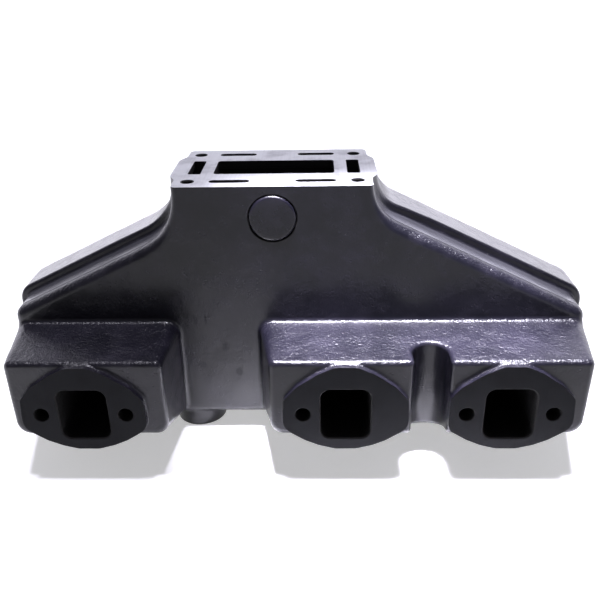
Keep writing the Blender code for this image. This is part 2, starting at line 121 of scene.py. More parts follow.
class Profile:
    """Signed distance to a closed outline, kept on a fine grid and read by interpolation."""

    def __init__(self, outline: Sequence[Point], margin: float = 0.02, step: float = 0.0008) -> None:
        """Measure the outline.

        Args:
            outline: Corners of the closed outline, in either direction.
            margin: How far outside the outline the grid reaches.
            step: Spacing of the grid.
        """
        corners = np.array(outline)
        self.low = corners.min(axis=0) - margin
        self.step = step
        size = np.ceil((corners.max(axis=0) + margin - self.low) / step).astype(int) + 1
        u = (self.low[0] + step * np.arange(size[0]))[:, None]
        v = (self.low[1] + step * np.arange(size[1]))[None, :]
        nearest = np.full(size, np.inf)
        inside = np.zeros(size, dtype=bool)
        for start, end in zip(corners, np.roll(corners, -1, axis=0)):
            run = end - start
            length = float(run @ run)
            if length < 1e-14:
                continue
            along = np.clip(((u - start[0]) * run[0] + (v - start[1]) * run[1]) / length, 0.0, 1.0)
            gap_u, gap_v = u - start[0] - along * run[0], v - start[1] - along * run[1]
            nearest = np.minimum(nearest, gap_u * gap_u + gap_v * gap_v)
            crosses = (start[1] > v) != (end[1] > v)
            if run[1]:
                inside ^= crosses & (u < start[0] + (v - start[1]) * run[0] / run[1])
        self.grid = np.where(inside, -1.0, 1.0) * np.sqrt(nearest)

    def __call__(self, u: Array, v: Array) -> Array:
        """Read the distance at points of the outline's plane."""
        u, v = np.broadcast_arrays(u, v)
        a = np.clip((u - self.low[0]) / self.step, 0, self.grid.shape[0] - 1.001)
        b = np.clip((v - self.low[1]) / self.step, 0, self.grid.shape[1] - 1.001)
        i, j = a.astype(int), b.astype(int)
        a, b = a - i, b - j
        grid = self.grid
        near = grid[i, j] * (1 - b) + grid[i, j + 1] * b
        far = grid[i + 1, j] * (1 - b) + grid[i + 1, j + 1] * b
        return near * (1 - a) + far * a


# ---- Distance fields and the mesh made from them ----

def common(a: Array, b: Array, radius: Array | float) -> Array:
    """Intersect two fields and round the edge that they make to a radius."""
    corner = np.hypot(np.maximum(a + radius, 0.0), np.maximum(b + radius, 0.0))
    return np.minimum(np.maximum(a, b), -radius) + corner


def joined(a: Array, b: Array, radius: Array | float) -> Array:
    """Unite two fields with a fillet of a radius in the corner between them."""
    return -common(-a, -b, radius)


def ramp(value: Array, low: float, high: float) -> Array:
    """Rise smoothly from 0 at the low value to 1 at the high one."""
    t = np.clip((value - low) / (high - low), 0.0, 1.0)
    return t * t * (3.0 - 2.0 * t)


@dataclass(frozen=True)
class SandSkin:
    """The slight unevenness that a sand mould leaves, as a sum of seeded plane waves."""

    height: float = 0.00006
    shortest: float = 0.012
    longest: float = 0.060
    waves: int = 16
    seed: int = 11

    def __call__(self, x: Array, y: Array, z: Array) -> Array:
        """Read the height of the skin at points in space."""
        rng = np.random.default_rng(self.seed)
        total: Array | float = 0.0
        for _ in range(self.waves):
            direction = rng.normal(size=3)
            direction *= 2 * math.pi / (np.linalg.norm(direction) * rng.uniform(self.shortest, self.longest))
            phase = rng.uniform(0.0, 2 * math.pi)
            total = total + np.sin(direction[0] * x + direction[1] * y + direction[2] * z + phase)
        return total * (self.height / math.sqrt(self.waves / 2))


SKIN = SandSkin()


@dataclass(frozen=True)
class Blank:
    """A cast blank: a distance field, the space that holds it and the size of its mesh's squares."""

    shape: DistanceField
    low: Sequence[float]
    high: Sequence[float]
    step: float

    def distance(self, points: Array) -> Array:
        """Measure a list of points against the blank."""
        return self.shape(points[:, 0], points[:, 1], points[:, 2])

    def mesh(self, name: str) -> bpy.types.Mesh:
        """Mesh the blank's surface with one vertex in each cell that it crosses.

        Args:
            name: Name of the new mesh.

        Returns:
            A closed mesh of quads whose faces point outwards.
        """
        axes = [np.arange(lo, hi + self.step, self.step) for lo, hi in zip(self.low, self.high)]
        value = self._sample(axes)
        self._untangle(value)
        solid = value < 0.0
        count = self._corner_count(solid)
        cells = np.argwhere((count > 0) & (count < 8))
        points = self._crossings(value, cells)
        points = np.array([a[0] for a in axes]) + self.step * (cells + points)
        points = self._settle(points)
        number = np.full(count.shape, -1, dtype=np.int32)
        number[tuple(cells.T)] = np.arange(len(cells))
        quads = np.concatenate([self._quads(solid, number, axis) for axis in range(3)])
        return mesh_from_arrays(name, points, quads)

    def _sample(self, axes: Sequence[Array], block: int = 3) -> Array:
        """Sample the field on the grid, exactly near the surface and roughly elsewhere."""
        coarse = [axis[::block] for axis in axes]
        rough = self.shape(*np.meshgrid(*coarse, indexing="ij", sparse=True))
        nearest = [np.minimum((np.arange(len(axis)) + block // 2) // block, len(part) - 1)
                   for axis, part in zip(axes, coarse)]
        value = rough[np.ix_(*nearest)]
        close = np.argwhere(np.abs(value) < self.step * block)
        exact = self.shape(*(axis[close[:, i]] for i, axis in enumerate(axes)))
        value[tuple(close.T)] = exact
        return value

    @staticmethod
    def _untangle(value: Array, rounds: int = 8) -> None:
        """Flip single samples where the surface would touch itself along an edge."""
        for _ in range(rounds):
            tangles = []
            for first, second in ((0, 1), (0, 2), (1, 2)):
                def corner(i: int, j: int) -> Array:
                    """Take one corner of every grid square in the two axes' plane."""
                    part = [slice(None)] * 3
                    part[first] = slice(i, value.shape[first] - 1 + i)
                    part[second] = slice(j, value.shape[second] - 1 + j)
                    return value[tuple(part)] < 0.0
                diagonal = (corner(0, 0) == corner(1, 1)) & (corner(0, 1) == corner(1, 0))
                for place in np.argwhere(diagonal & (corner(0, 0) != corner(0, 1))):
                    corners = []
                    for i, j in ((0, 0), (0, 1), (1, 0), (1, 1)):
                        node = place.copy()
                        node[first] += i
                        node[second] += j
                        corners.append(tuple(node))
                    tangles.append(min(corners, key=lambda node: (abs(value[node]), node)))
            if not tangles:
                return
            for node in sorted(set(tangles)):
                value[node] = -value[node] if value[node] else -1e-9

    @staticmethod
    def _corner_count(solid: Array) -> Array:
        """Count each cell's corners that lie in the solid."""
        inside = solid.astype(np.int8)
        for axis in range(3):
            low = [slice(None)] * 3
            high = [slice(None)] * 3
            low[axis], high[axis] = slice(None, -1), slice(1, None)
            inside = inside[tuple(low)] + inside[tuple(high)]
        return inside

    @staticmethod
    def _crossings(value: Array, cells: Array) -> Array:
        """Average the points where the surface crosses each cell's edges, in units of the cell."""
        corners = [(i, j, k) for i in (0, 1) for j in (0, 1) for k in (0, 1)]
        at = {c: value[tuple((cells + c).T)] for c in corners}
        total = np.zeros((len(cells), 3))
        hits = np.zeros(len(cells))
        for corner in corners:
            for axis in range(3):
                if corner[axis]:
                    continue
                other = tuple(1 if a == axis else c for a, c in enumerate(corner))
                first, second = at[corner], at[other]
                crossed = (first < 0) != (second < 0)
                share = np.where(crossed, first / np.where(crossed, first - second, 1.0), 0.0)
                place = np.tile(np.array(corner, dtype=float), (len(cells), 1))
                place[:, axis] = share
                total += place * crossed[:, None]
                hits += crossed
        return total / hits[:, None]

    def slope(self, points: Array) -> Array:
        """Find the direction in which the field rises fastest at a list of points."""
        probe = self.step * 0.25
        slope = np.empty_like(points)
        for axis in range(3):
            shift = np.zeros(3)
            shift[axis] = probe
            slope[:, axis] = self.distance(points + shift) - self.distance(points - shift)
        return slope / (2 * probe)

    def _settle(self, points: Array, rounds: int = 3) -> Array:
        """Move points along the field's slope until they lie on the surface."""
        slope = self.slope(points)
        slope /= np.maximum((slope * slope).sum(axis=1), 0.25)[:, None]
        for _ in range(rounds):
            move = np.clip(self.distance(points), -0.5 * self.step, 0.5 * self.step)
            points = points - slope * move[:, None]
        return points

    @staticmethod
    def _quads(solid: Array, number: Array, axis: int) -> Array:
        """Join the four cells round each grid edge that crosses the surface along one axis."""
        second, third = (axis + 1) % 3, (axis + 2) % 3
        low = [slice(None)] * 3
        high = [slice(None)] * 3
        low[axis], high[axis] = slice(None, -1), slice(1, None)
        first, last = solid[tuple(low)], solid[tuple(high)]
        edges = np.argwhere(first != last)
        edges = edges[(edges[:, second] > 0) & (edges[:, third] > 0)]
        leaving = first[tuple(edges.T)]
        loops = []
        for back_second, back_third in ((1, 1), (0, 1), (0, 0), (1, 0)):
            cell = edges.copy()
            cell[:, second] -= back_second
            cell[:, third] -= back_third
            cell = np.minimum(cell, np.array(number.shape) - 1)
            loops.append(number[tuple(cell.T)])
        quads = np.stack(loops, axis=1)
        quads[~leaving] = quads[~leaving][:, ::-1]
        return quads[(quads >= 0).all(axis=1)]


def mesh_from_arrays(name: str, points: Array, faces: Array) -> bpy.types.Mesh:
    """Make a mesh quickly from an array of points and an array of equal faces."""
    mesh = bpy.data.meshes.new(name)
    sides = faces.shape[1]
    mesh.vertices.add(len(points))
    mesh.vertices.foreach_set("co", points.astype(np.float32).ravel())
    mesh.loops.add(faces.size)
    mesh.loops.foreach_set("vertex_index", faces.astype(np.int32).ravel())
    mesh.polygons.add(len(faces))
    mesh.polygons.foreach_set("loop_start", np.arange(0, faces.size, sides, dtype=np.int32))
    mesh.update(calc_edges=True)
    mesh.validate()
    return mesh


# ---- Objects and machining ----

def add_object(name: str, mesh: bpy.types.Mesh) -> bpy.types.Object:
    """Link a new object for a mesh into the scene."""
    obj = bpy.data.objects.new(name, mesh)
    bpy.context.scene.collection.objects.link(obj)
    return obj


def loft(name: str, loops: Sequence[Sequence[Sequence[float]]]) -> bpy.types.Object:
    """Skin closed loops of one length and cap both ends.

    Args:
        name: Name of the new object.
        loops: The loops in order, each a list of points in space.

    Returns:
        A closed solid.
    """
    bm = bmesh.new()
    rings = [[bm.verts.new(point) for point in loop] for loop in loops]
    for ring, following in zip(rings, rings[1:]):
        for i in range(len(ring)):
            j = (i + 1) % len(ring)
            bm.faces.new((ring[i], ring[j], following[j], following[i]))
    bm.faces.new(rings[0])
    bm.faces.new(rings[-1])
    bmesh.ops.triangulate(bm, faces=[f for f in bm.faces if len(f.verts) > 4])
    bmesh.ops.recalc_face_normals(bm, faces=bm.faces)
    mesh = bpy.data.meshes.new(name)
    bm.to_mesh(mesh)
    bm.free()
    return add_object(name, mesh)


def prism(outline: Sequence[Point], axis: Axis, low: float, high: float) -> bpy.types.Object:
    """Extrude an outline along an axis into a cutter or a simple solid."""
    first, second, along = axis.value
    loops = []
    for depth in (low, high):
        loop = np.empty((len(outline), 3))
        loop[:, [first, second]] = outline
        loop[:, along] = depth
        loops.append(loop.tolist())
    return loft("prism", loops)


def turned(outline: Sequence[Point], axis: Axis, centre: Sequence[float], sides: int = 72
           ) -> bpy.types.Object:
    """Turn a half outline of radius and height about an axis.

    Args:
        outline: Pairs of radius and height, from the axis at one end to the axis at the other.
        axis: Axis to turn about.
        centre: A point on that axis, where the height is 0.
        sides: Number of sides.

    Returns:
        A closed solid.
    """
    first, second, along = axis.value
    loops = []
    for radius, height in outline:
        loop = np.empty((sides, 3))
        turn = np.linspace(0, 2 * math.pi, sides, endpoint=False)
        loop[:, first] = centre[first] + radius * np.cos(turn)
        loop[:, second] = centre[second] + radius * np.sin(turn)
        loop[:, along] = centre[along] + height
        loops.append(loop.tolist())
    return loft("turned", loops)


def machine(work: bpy.types.Object, tools: Sequence[bpy.types.Object], operation: str = "DIFFERENCE"
            ) -> None:
    """Apply solid tools to a workpiece and throw the tools away.

    Args:
        work: The object that is changed.
        tools: Closed solids, used one after another.
        operation: DIFFERENCE or INTERSECT.
    """
    for tool in tools:
        modifier = work.modifiers.new("tool", "BOOLEAN")
        modifier.solver = "MANIFOLD"
        modifier.operation = operation
        modifier.object = tool
    depsgraph = bpy.context.evaluated_depsgraph_get()
    result = bpy.data.meshes.new_from_object(work.evaluated_get(depsgraph))
    work.modifiers.clear()
    spare = work.data
    work.data = result
    bpy.data.meshes.remove(spare)
    for tool in tools:
        bpy.data.meshes.remove(tool.data)


class Part(Enum):
    """The surfaces that one casting shows, which index its material slots."""

    SKIN = 0
    CUT = 1
    FACE = 2


@dataclass(frozen=True)
class Plane:
    """A machined plane: its axis and where it lies on it."""

    axis: int
    at: float


def finish_casting(obj: bpy.types.Object, blank: Blank, materials: Sequence[bpy.types.Material],
                   planes: Sequence[Plane] = (), sharp: float = 38.0) -> None:
    """Sort a machined casting's faces into skin, cut and machined face, and shade it.

    The skin takes its shading from the blank's field, so that it runs on unbroken into the next member.

    Args:
        obj: The casting.
        blank: The blank it was cut from; a face off its surface is a cut one.
        materials: Materials for the members of Part, in their order.
        planes: Planes whose faces are machined faces.
        sharp: Angle in degrees past which an edge stays sharp.
    """
    mesh = obj.data
    mesh.materials.clear()
    for material in materials:
        mesh.materials.append(material)
    centres, normals = (read_vectors(mesh.polygons, key) for key in ("center", "normal"))
    close = np.abs(blank.distance(centres)) < 0.3 * blank.step
    slope = np.zeros_like(centres)
    slope[close] = blank.slope(centres[close])
    slope /= np.maximum(np.linalg.norm(slope, axis=1), 1e-9)[:, None]
    skin = close & ((slope * normals).sum(axis=1) > 0.7)
    index = np.where(skin, Part.SKIN.value, Part.CUT.value)
    for plane in planes:
        flat = np.abs(centres[:, plane.axis] - plane.at) < 1e-5
        index[flat & (np.abs(normals[:, plane.axis]) > 0.99)] = Part.FACE.value
    skin = index == Part.SKIN.value
    mesh.polygons.foreach_set("material_index", np.minimum(index, len(materials) - 1).astype(np.int32))
    mesh.shade_smooth()
    mesh.set_sharp_from_angle(angle=math.radians(sharp))
    mesh.update()
    corner_normals = read_vectors(mesh.corner_normals, "vector")
    vertex = np.empty(len(mesh.loops), dtype=np.int32)
    mesh.loops.foreach_get("vertex_index", vertex)
    sides = np.empty(len(mesh.polygons), dtype=np.int32)
    mesh.polygons.foreach_get("loop_total", sides)
    on_skin = np.repeat(skin, sides)
    used = np.unique(vertex[on_skin])
    points = read_vectors(mesh.vertices, "co")
    smooth = np.zeros_like(points)
    smooth[used] = blank.slope(points[used])
    smooth /= np.maximum(np.linalg.norm(smooth, axis=1), 1e-9)[:, None]
    own = np.repeat(normals, sides, axis=0)
    agree = on_skin & ((smooth[vertex] * own).sum(axis=1) > 0.5)
    corner_normals[agree] = smooth[vertex][agree]
    mesh.normals_split_custom_set(corner_normals.tolist())


def read_vectors(items: bpy.types.bpy_prop_collection, key: str) -> Array:
    """Read a vector property of every item as an array of rows."""
    rows = np.empty(3 * len(items), dtype=np.float32)
    items.foreach_get(key, rows)
    return rows.reshape(-1, 3).astype(float)


def hand_over(obj: bpy.types.Object, name: str, slot: str, *nodes: str) -> None:
    """Name a finished piece, tie it to the frame and report it.

    Args:
        obj: The finished piece.
        name: Its name.
        slot: The record's material slot of the piece; not used.
        nodes: The nodes that it stands for.
    """
    obj.name = name
    obj.data.name = name
    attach(obj, ROOT)
    if nodes:
        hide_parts(*nodes)
    LOG.info("%-28s %7d triangles", name, len(obj.data.loops) - 2 * len(obj.data.polygons))


# ---- Shader building ----

Colour = Triple


@dataclass(frozen=True)
class Value:
    """A number that varies over a surface; sums and products on it add Math nodes."""

    tree: "Tree"
    socket: bpy.types.NodeSocket

    def _math(self, operation: str, *others: "Value | float") -> "Value":
        """Add one Math node fed by this value and others."""
        sockets = {i + 1: other for i, other in enumerate(others)}
        return self.tree.node("ShaderNodeMath", {"operation": operation}, {0: self, **sockets})

    def __add__(self, other: "Value | float") -> "Value":
        """Add a value or a number."""
        return self._math("ADD", other)

    def __mul__(self, other: "Value | float") -> "Value":
        """Multiply by a value or a number."""
        return self._math("MULTIPLY", other)

    def __sub__(self, other: "Value | float") -> "Value":
        """Take a value or a number away."""
        return self._math("SUBTRACT", other)

    def __rsub__(self, other: float) -> "Value":
        """Take this value away from a number."""
        return self.tree.node("ShaderNodeMath", {"operation": "SUBTRACT"}, {0: other, 1: self})

    __radd__ = __add__
    __rmul__ = __mul__

    def size(self) -> "Value":
        """Drop the sign."""
        return self._math("ABSOLUTE")

    def over(self, other: "Value | float") -> "Value":
        """Divide by a value or a number."""
        return self._math("DIVIDE", other)

    def minimum(self, other: "Value | float") -> "Value":
        """Keep the smaller of two values."""
        return self._math("MINIMUM", other)

    def step(self, low: float, high: float) -> "Value":
        """Rise smoothly from 0 to 1 as this value goes from low to high."""
        return self.tree.node("ShaderNodeMapRange", {"interpolation_type": "SMOOTHSTEP"},
                              {"Value": self, "From Min": low, "From Max": high})


class Tree:
    """A node tree under construction: of a material, of the world or of Geometry Nodes."""

    def __init__(self, tree: bpy.types.NodeTree) -> None:
        """Work on a tree.

        Args:
            tree: The tree, empty or with its first nodes.
        """
        self.nodes, self.links = tree.nodes, tree.links

    def feed(self, socket: bpy.types.NodeSocket, value: object) -> None:
        """Link a value to a socket, or set the socket to a plain number, colour or vector."""
        if isinstance(value, Value):
            self.links.new(value.socket, socket)
        elif isinstance(value, tuple) and socket.type == "RGBA":
            socket.default_value = (*value, 1.0)
        else:
            socket.default_value = value

    def node(self, kind: str, settings: dict | None = None, inputs: dict | None = None,
             output: int | str = 0) -> Value:
        """Add a node.

        Args:
            kind: Type of the node.
            settings: Its own properties, set before anything is linked.
            inputs: Values or links of its sockets, by name or number.
            output: The output that is wanted.

        Returns:
            That output.
        """
        node = self.nodes.new(kind)
        for key, value in (settings or {}).items():
            setattr(node, key, value)
        for key, value in (inputs or {}).items():
            self.feed(node.inputs[key], value)
        return Value(self, node.outputs[output])

    def part(self, vector: Value, axis: int) -> Value:
        """Read one component of a vector."""
        return self.node("ShaderNodeSeparateXYZ", None, {0: vector}, output=axis)


class Shading(Tree):
    """One material's node tree, built round a Principled shader."""

    def __init__(self, name: str) -> None:
        """Start a material.

        Args:
            name: Name of the material.
        """
        self.material = bpy.data.materials.new(name)
        self.material.use_nodes = True
        super().__init__(self.material.node_tree)
        self.shader = self.nodes["Principled BSDF"]
        self.place = self.node("ShaderNodeTexCoord", output="Object")

    def noise(self, scale: float, detail: float = 3.0, roughness: float = 0.55, where: Value | None = None
              ) -> Value:
        """Add cloudy noise, with its scale given in features per metre."""
        return self.node("ShaderNodeTexNoise", {"noise_dimensions": "3D"},
                         {"Vector": where or self.place, "Scale": scale, "Detail": detail,
                          "Roughness": roughness})

    def cells(self, scale: float) -> Value:
        """Measure the distance to the nearest of many scattered points."""
        return self.node("ShaderNodeTexVoronoi", {"voronoi_dimensions": "3D", "feature": "F1"},
                         {"Vector": self.place, "Scale": scale}, output="Distance")

    def stretched(self, scale: Triple, turn: Triple = (0, 0, 0)
                  ) -> Value:
        """Stretch and turn the object's coordinates."""
        return self.node("ShaderNodeMapping", None,
                         {"Vector": self.place, "Scale": scale, "Rotation": turn})

    def blend(self, share: Value, first: Value | Colour, second: Value | Colour) -> Value:
        """Mix two colours by a share."""
        return self.node("ShaderNodeMix", {"data_type": "RGBA"}, {0: share, 6: first, 7: second}, output=2)

    def facing(self, axis: int) -> Value:
        """Read one component of the surface's own direction."""
        return self.part(self.node("ShaderNodeNewGeometry", output="Normal"), axis)

    def along(self, axis: int) -> Value:
        """Read one of the object's coordinates."""
        return self.part(self.place, axis)

    def bump(self, height: Value, distance: float, strength: float = 1.0, under: Value | None = None
             ) -> Value:
        """Turn a height into a bent normal, on top of another one."""
        inputs = {"Height": height, "Distance": distance, "Strength": strength}
        if under:
            inputs["Normal"] = under
        return self.node("ShaderNodeBump", None, inputs)

    def finish(self, **sockets: object) -> bpy.types.Material:
        """Set the shader's sockets, with spaces in their names written as underscores."""
        for name, value in sockets.items():
            self.feed(self.shader.inputs[name.replace("_", " ")], value)
        return self.material


@dataclass(frozen=True)
class BlackEnamel:
    """Gloss black engine enamel sprayed over sand-cast iron.

    The casting's grain shows through the paint, most of all on faces that look up, and those faces also
    lean to the lighter tone as a painted top highlight. On the shoulders a crease, a bumped groove darkened
    with painted shade, and a pale strip painted as a highlight run beside the ribs, and the flat wall
    between the boxes has a few dull runs.
    """

    colour: Colour = (0.0040, 0.0040, 0.0075)
    # lighter tone: spread at random, and also a painted highlight on faces that look up
    worn_and_top_highlight: Colour = (0.014, 0.0125, 0.022)
    roughness: float = 0.32
    grain: float = 1.0
    crease_y: float = 0.0708
    shoulder_z: float = 0.050
    runs: tuple[tuple[float, float, float, float], ...] = (
        (-0.0755, 0.0409, 0.0015, 0.0048), (-0.0680, 0.0409, 0.0015, 0.0048),
        (-0.0734, 0.0023, 0.0042, 0.0034), (-0.0545, 0.0179, 0.0036, 0.0048),
        (-0.0454, -0.0042, 0.0034, 0.0044))
    wall_front: Point = (0.0600, 0.0606)
    wall_rear: Point = (0.0650, 0.0660)
    # pale grey of the painted highlight on the shoulder strip
    strip_highlight_colour: Colour = (0.085, 0.085, 0.098)
    rib_y: float = 0.0885

    def make(self, name: str) -> bpy.types.Material:
        """Build the material."""
        s = Shading(name)
        broad = s.noise(22.0, 4.0)
        patches = s.noise(75.0, 3.0).step(0.42, 0.68)
        upward = s.facing(2).step(0.15, 0.9)
        grains = s.noise(520.0, 2.0, 0.6)
        pits = 1 - s.cells(330.0).step(0.0, 0.35)
        sand = s.noise(300.0, 3.0, 0.65)
        peel = s.noise(210.0, 1.0)
        depth = s.along(1)
        shoulder = s.along(2).step(self.shoulder_z - 0.004, self.shoulder_z) * s.facing(2).step(0.6, 0.85)
        # the crease is a bump groove and also painted shade: along it the colour falls to the darkest tone
        crease_groove_and_shade = shoulder * (1 - (depth - self.crease_y).size().step(0.0002, 0.0013))
        strip = shoulder * depth.step(self.crease_y, self.crease_y + 0.002)
        rough_zone = (upward * (0.85 - strip * 0.6) + patches * 0.14 + 0.05).minimum(1.0)
        # this share drops on the dull runs and on the crease; along the crease that darkening is painted
        # shade
        clear_of_runs_and_crease_shade = 1 - (self.run_marks(s, broad) + crease_groove_and_shade).minimum(0.85)
        # noise and patches spread the lighter tone at random; the upward term is a painted top highlight
        share = (broad.step(0.35, 0.7) * 0.5 + patches * 0.3 + upward * 0.2) * clear_of_runs_and_crease_shade
        colour = s.blend(share, self.colour, self.worn_and_top_highlight)
        # painted highlight: the up-facing shoulder strip behind the crease is lightened towards a pale grey
        strip_highlight_share = strip * (1 - depth.step(self.rib_y, self.rib_y + 0.002)) * (broad * 0.5 + 0.5)
        colour = s.blend(strip_highlight_share, colour, self.strip_highlight_colour)
        roughness = (broad * 0.10 + patches * 0.08 + rough_zone * 0.04 + (1 - clear_of_runs_and_crease_shade) * 0.3
                     + (self.roughness - 0.06))
        height = (grains * 0.8 + sand * 0.9) * rough_zone - pits * 0.3 * patches - crease_groove_and_shade * 0.9
        normal = s.bump(peel, 0.00010, 0.8)
        normal = s.bump(height, 0.0009 * self.grain, 1.0, normal)
        coat = (strip * 0.55 + 0.22) * clear_of_runs_and_crease_shade
        return s.finish(Base_Color=colour, Roughness=roughness, Normal=normal, Coat_Weight=coat,
                        Coat_Roughness=0.2, Specular_IOR_Level=0.42)

    def run_marks(self, s: Shading, ragged: Value) -> Value:
        """Place the dull runs and blots, each given as x, z, half width and half height."""
        on_wall = (1 - s.along(1).step(*self.wall_rear)) * s.along(1).step(*self.wall_front)
        marks = []
        for x, z, half_width, half_height in self.runs:
            across = (s.along(0) - x) * (1 / half_width)
            up = (s.along(2) - z) * (1 / half_height)
            reach = across * across + up * up + (ragged - 0.5) * 0.7
            marks.append((1 - reach.step(0.3, 1.1)) * on_wall * 0.7)
        return sum(marks[1:], marks[0])


@dataclass(frozen=True)
class MilledFace:
    """A milled face: fine parallel feed marks, dark specks and a slight haze."""

    colour: Colour = (0.54, 0.55, 0.57)
    dark: Colour = (0.26, 0.26, 0.285)
    roughness: float = 0.5
    metallic: float = 0.25
    specular: float = 0.5
    pitch: float = 0.0011
    turn: Triple = (0.0, 0.0, 0.3)

    def make(self, name: str) -> bpy.types.Material:
        """Build the material."""
        s = Shading(name)
        lines = s.noise(1.0, 2.0, where=s.stretched((1 / self.pitch, 12.0, 12.0), self.turn))
        haze = s.noise(60.0, 4.0)
        spots = s.cells(180.0).step(0.06, 0.16)
        share = (haze.step(0.45, 0.75) * 0.6 + lines * 0.3 + (1 - spots) * 0.3).minimum(1.0)
        colour = s.blend(share, self.colour, self.dark)
        roughness = lines * 0.16 + haze * 0.14 + (self.roughness - 0.15)
        normal = s.bump(lines, 0.00004, 0.6)
        return s.finish(Base_Color=colour, Roughness=roughness, Normal=normal, Metallic=self.metallic,
                        Specular_IOR_Level=self.specular)


@dataclass(frozen=True)
class PassageIron:
    """The rough dark wall of a passage as it left its sand core."""

    colour: Colour = (0.0030, 0.0028, 0.0030)
    rusty: Colour = (0.0065, 0.0050, 0.0045)
    roughness: float = 0.82

    def make(self, name: str) -> bpy.types.Material:
        """Build the material."""
        s = Shading(name)
        patches = s.noise(70.0, 4.0).step(0.45, 0.75)
        sand = s.noise(520.0, 4.0, 0.7)
        colour = s.blend(patches * 0.7 + sand * 0.2, self.colour, self.rusty)
        normal = s.bump(sand, 0.0006, 0.8)
        return s.finish(Base_Color=colour, Roughness=sand * 0.15 + (self.roughness - 0.08), Normal=normal,
                        Metallic=0.1)


@dataclass(frozen=True)
class Brass:
    """Turned brass that has dulled and spotted."""

    colour: Colour = (0.52, 0.36, 0.13)
    tarnish: Colour = (0.16, 0.10, 0.05)

    def make(self, name: str) -> bpy.types.Material:
        """Build the material."""
        s = Shading(name)
        haze = s.noise(240.0, 4.0)
        lines = s.noise(900.0, 1.0)
        colour = s.blend(haze.step(0.4, 0.75), self.colour, self.tarnish)
        return s.finish(Base_Color=colour, Roughness=haze * 0.3 + 0.22, Metallic=1.0,
                        Normal=s.bump(lines, 0.00005, 0.5))


@dataclass
class Finishes:
    """All finishes of the manifold, made once."""

    enamel: bpy.types.Material = field(init=False)
    port_face: bpy.types.Material = field(init=False)
    deck_face: bpy.types.Material = field(init=False)
    passage: bpy.types.Material = field(init=False)
    plug_paint: bpy.types.Material = field(init=False)
    brass: bpy.types.Material = field(init=False)

    def __post_init__(self) -> None:
        """Build every material."""
        self.enamel = BlackEnamel().make("black_enamel_on_cast_iron")
        painted = MilledFace(colour=(0.0060, 0.0065, 0.0090), dark=(0.003, 0.003, 0.0045), metallic=0.0,
                             specular=0.14, pitch=0.0016, turn=(0.0, 0.2, 0.0))
        self.port_face = painted.make("painted_port_face")
        self.deck_face = MilledFace().make("milled_deck_iron")
        self.passage = PassageIron().make("cored_passage_iron")
        self.plug_paint = BlackEnamel(roughness=0.26, grain=0.35).make("black_enamel_on_pressed_steel")
        self.brass = Brass().make("dull_turned_brass")


# ---- The casting as a whole ----

class Side(Enum):
    """The two ends of the manifold, seen from the head side."""

    LEFT = -1
    RIGHT = 1


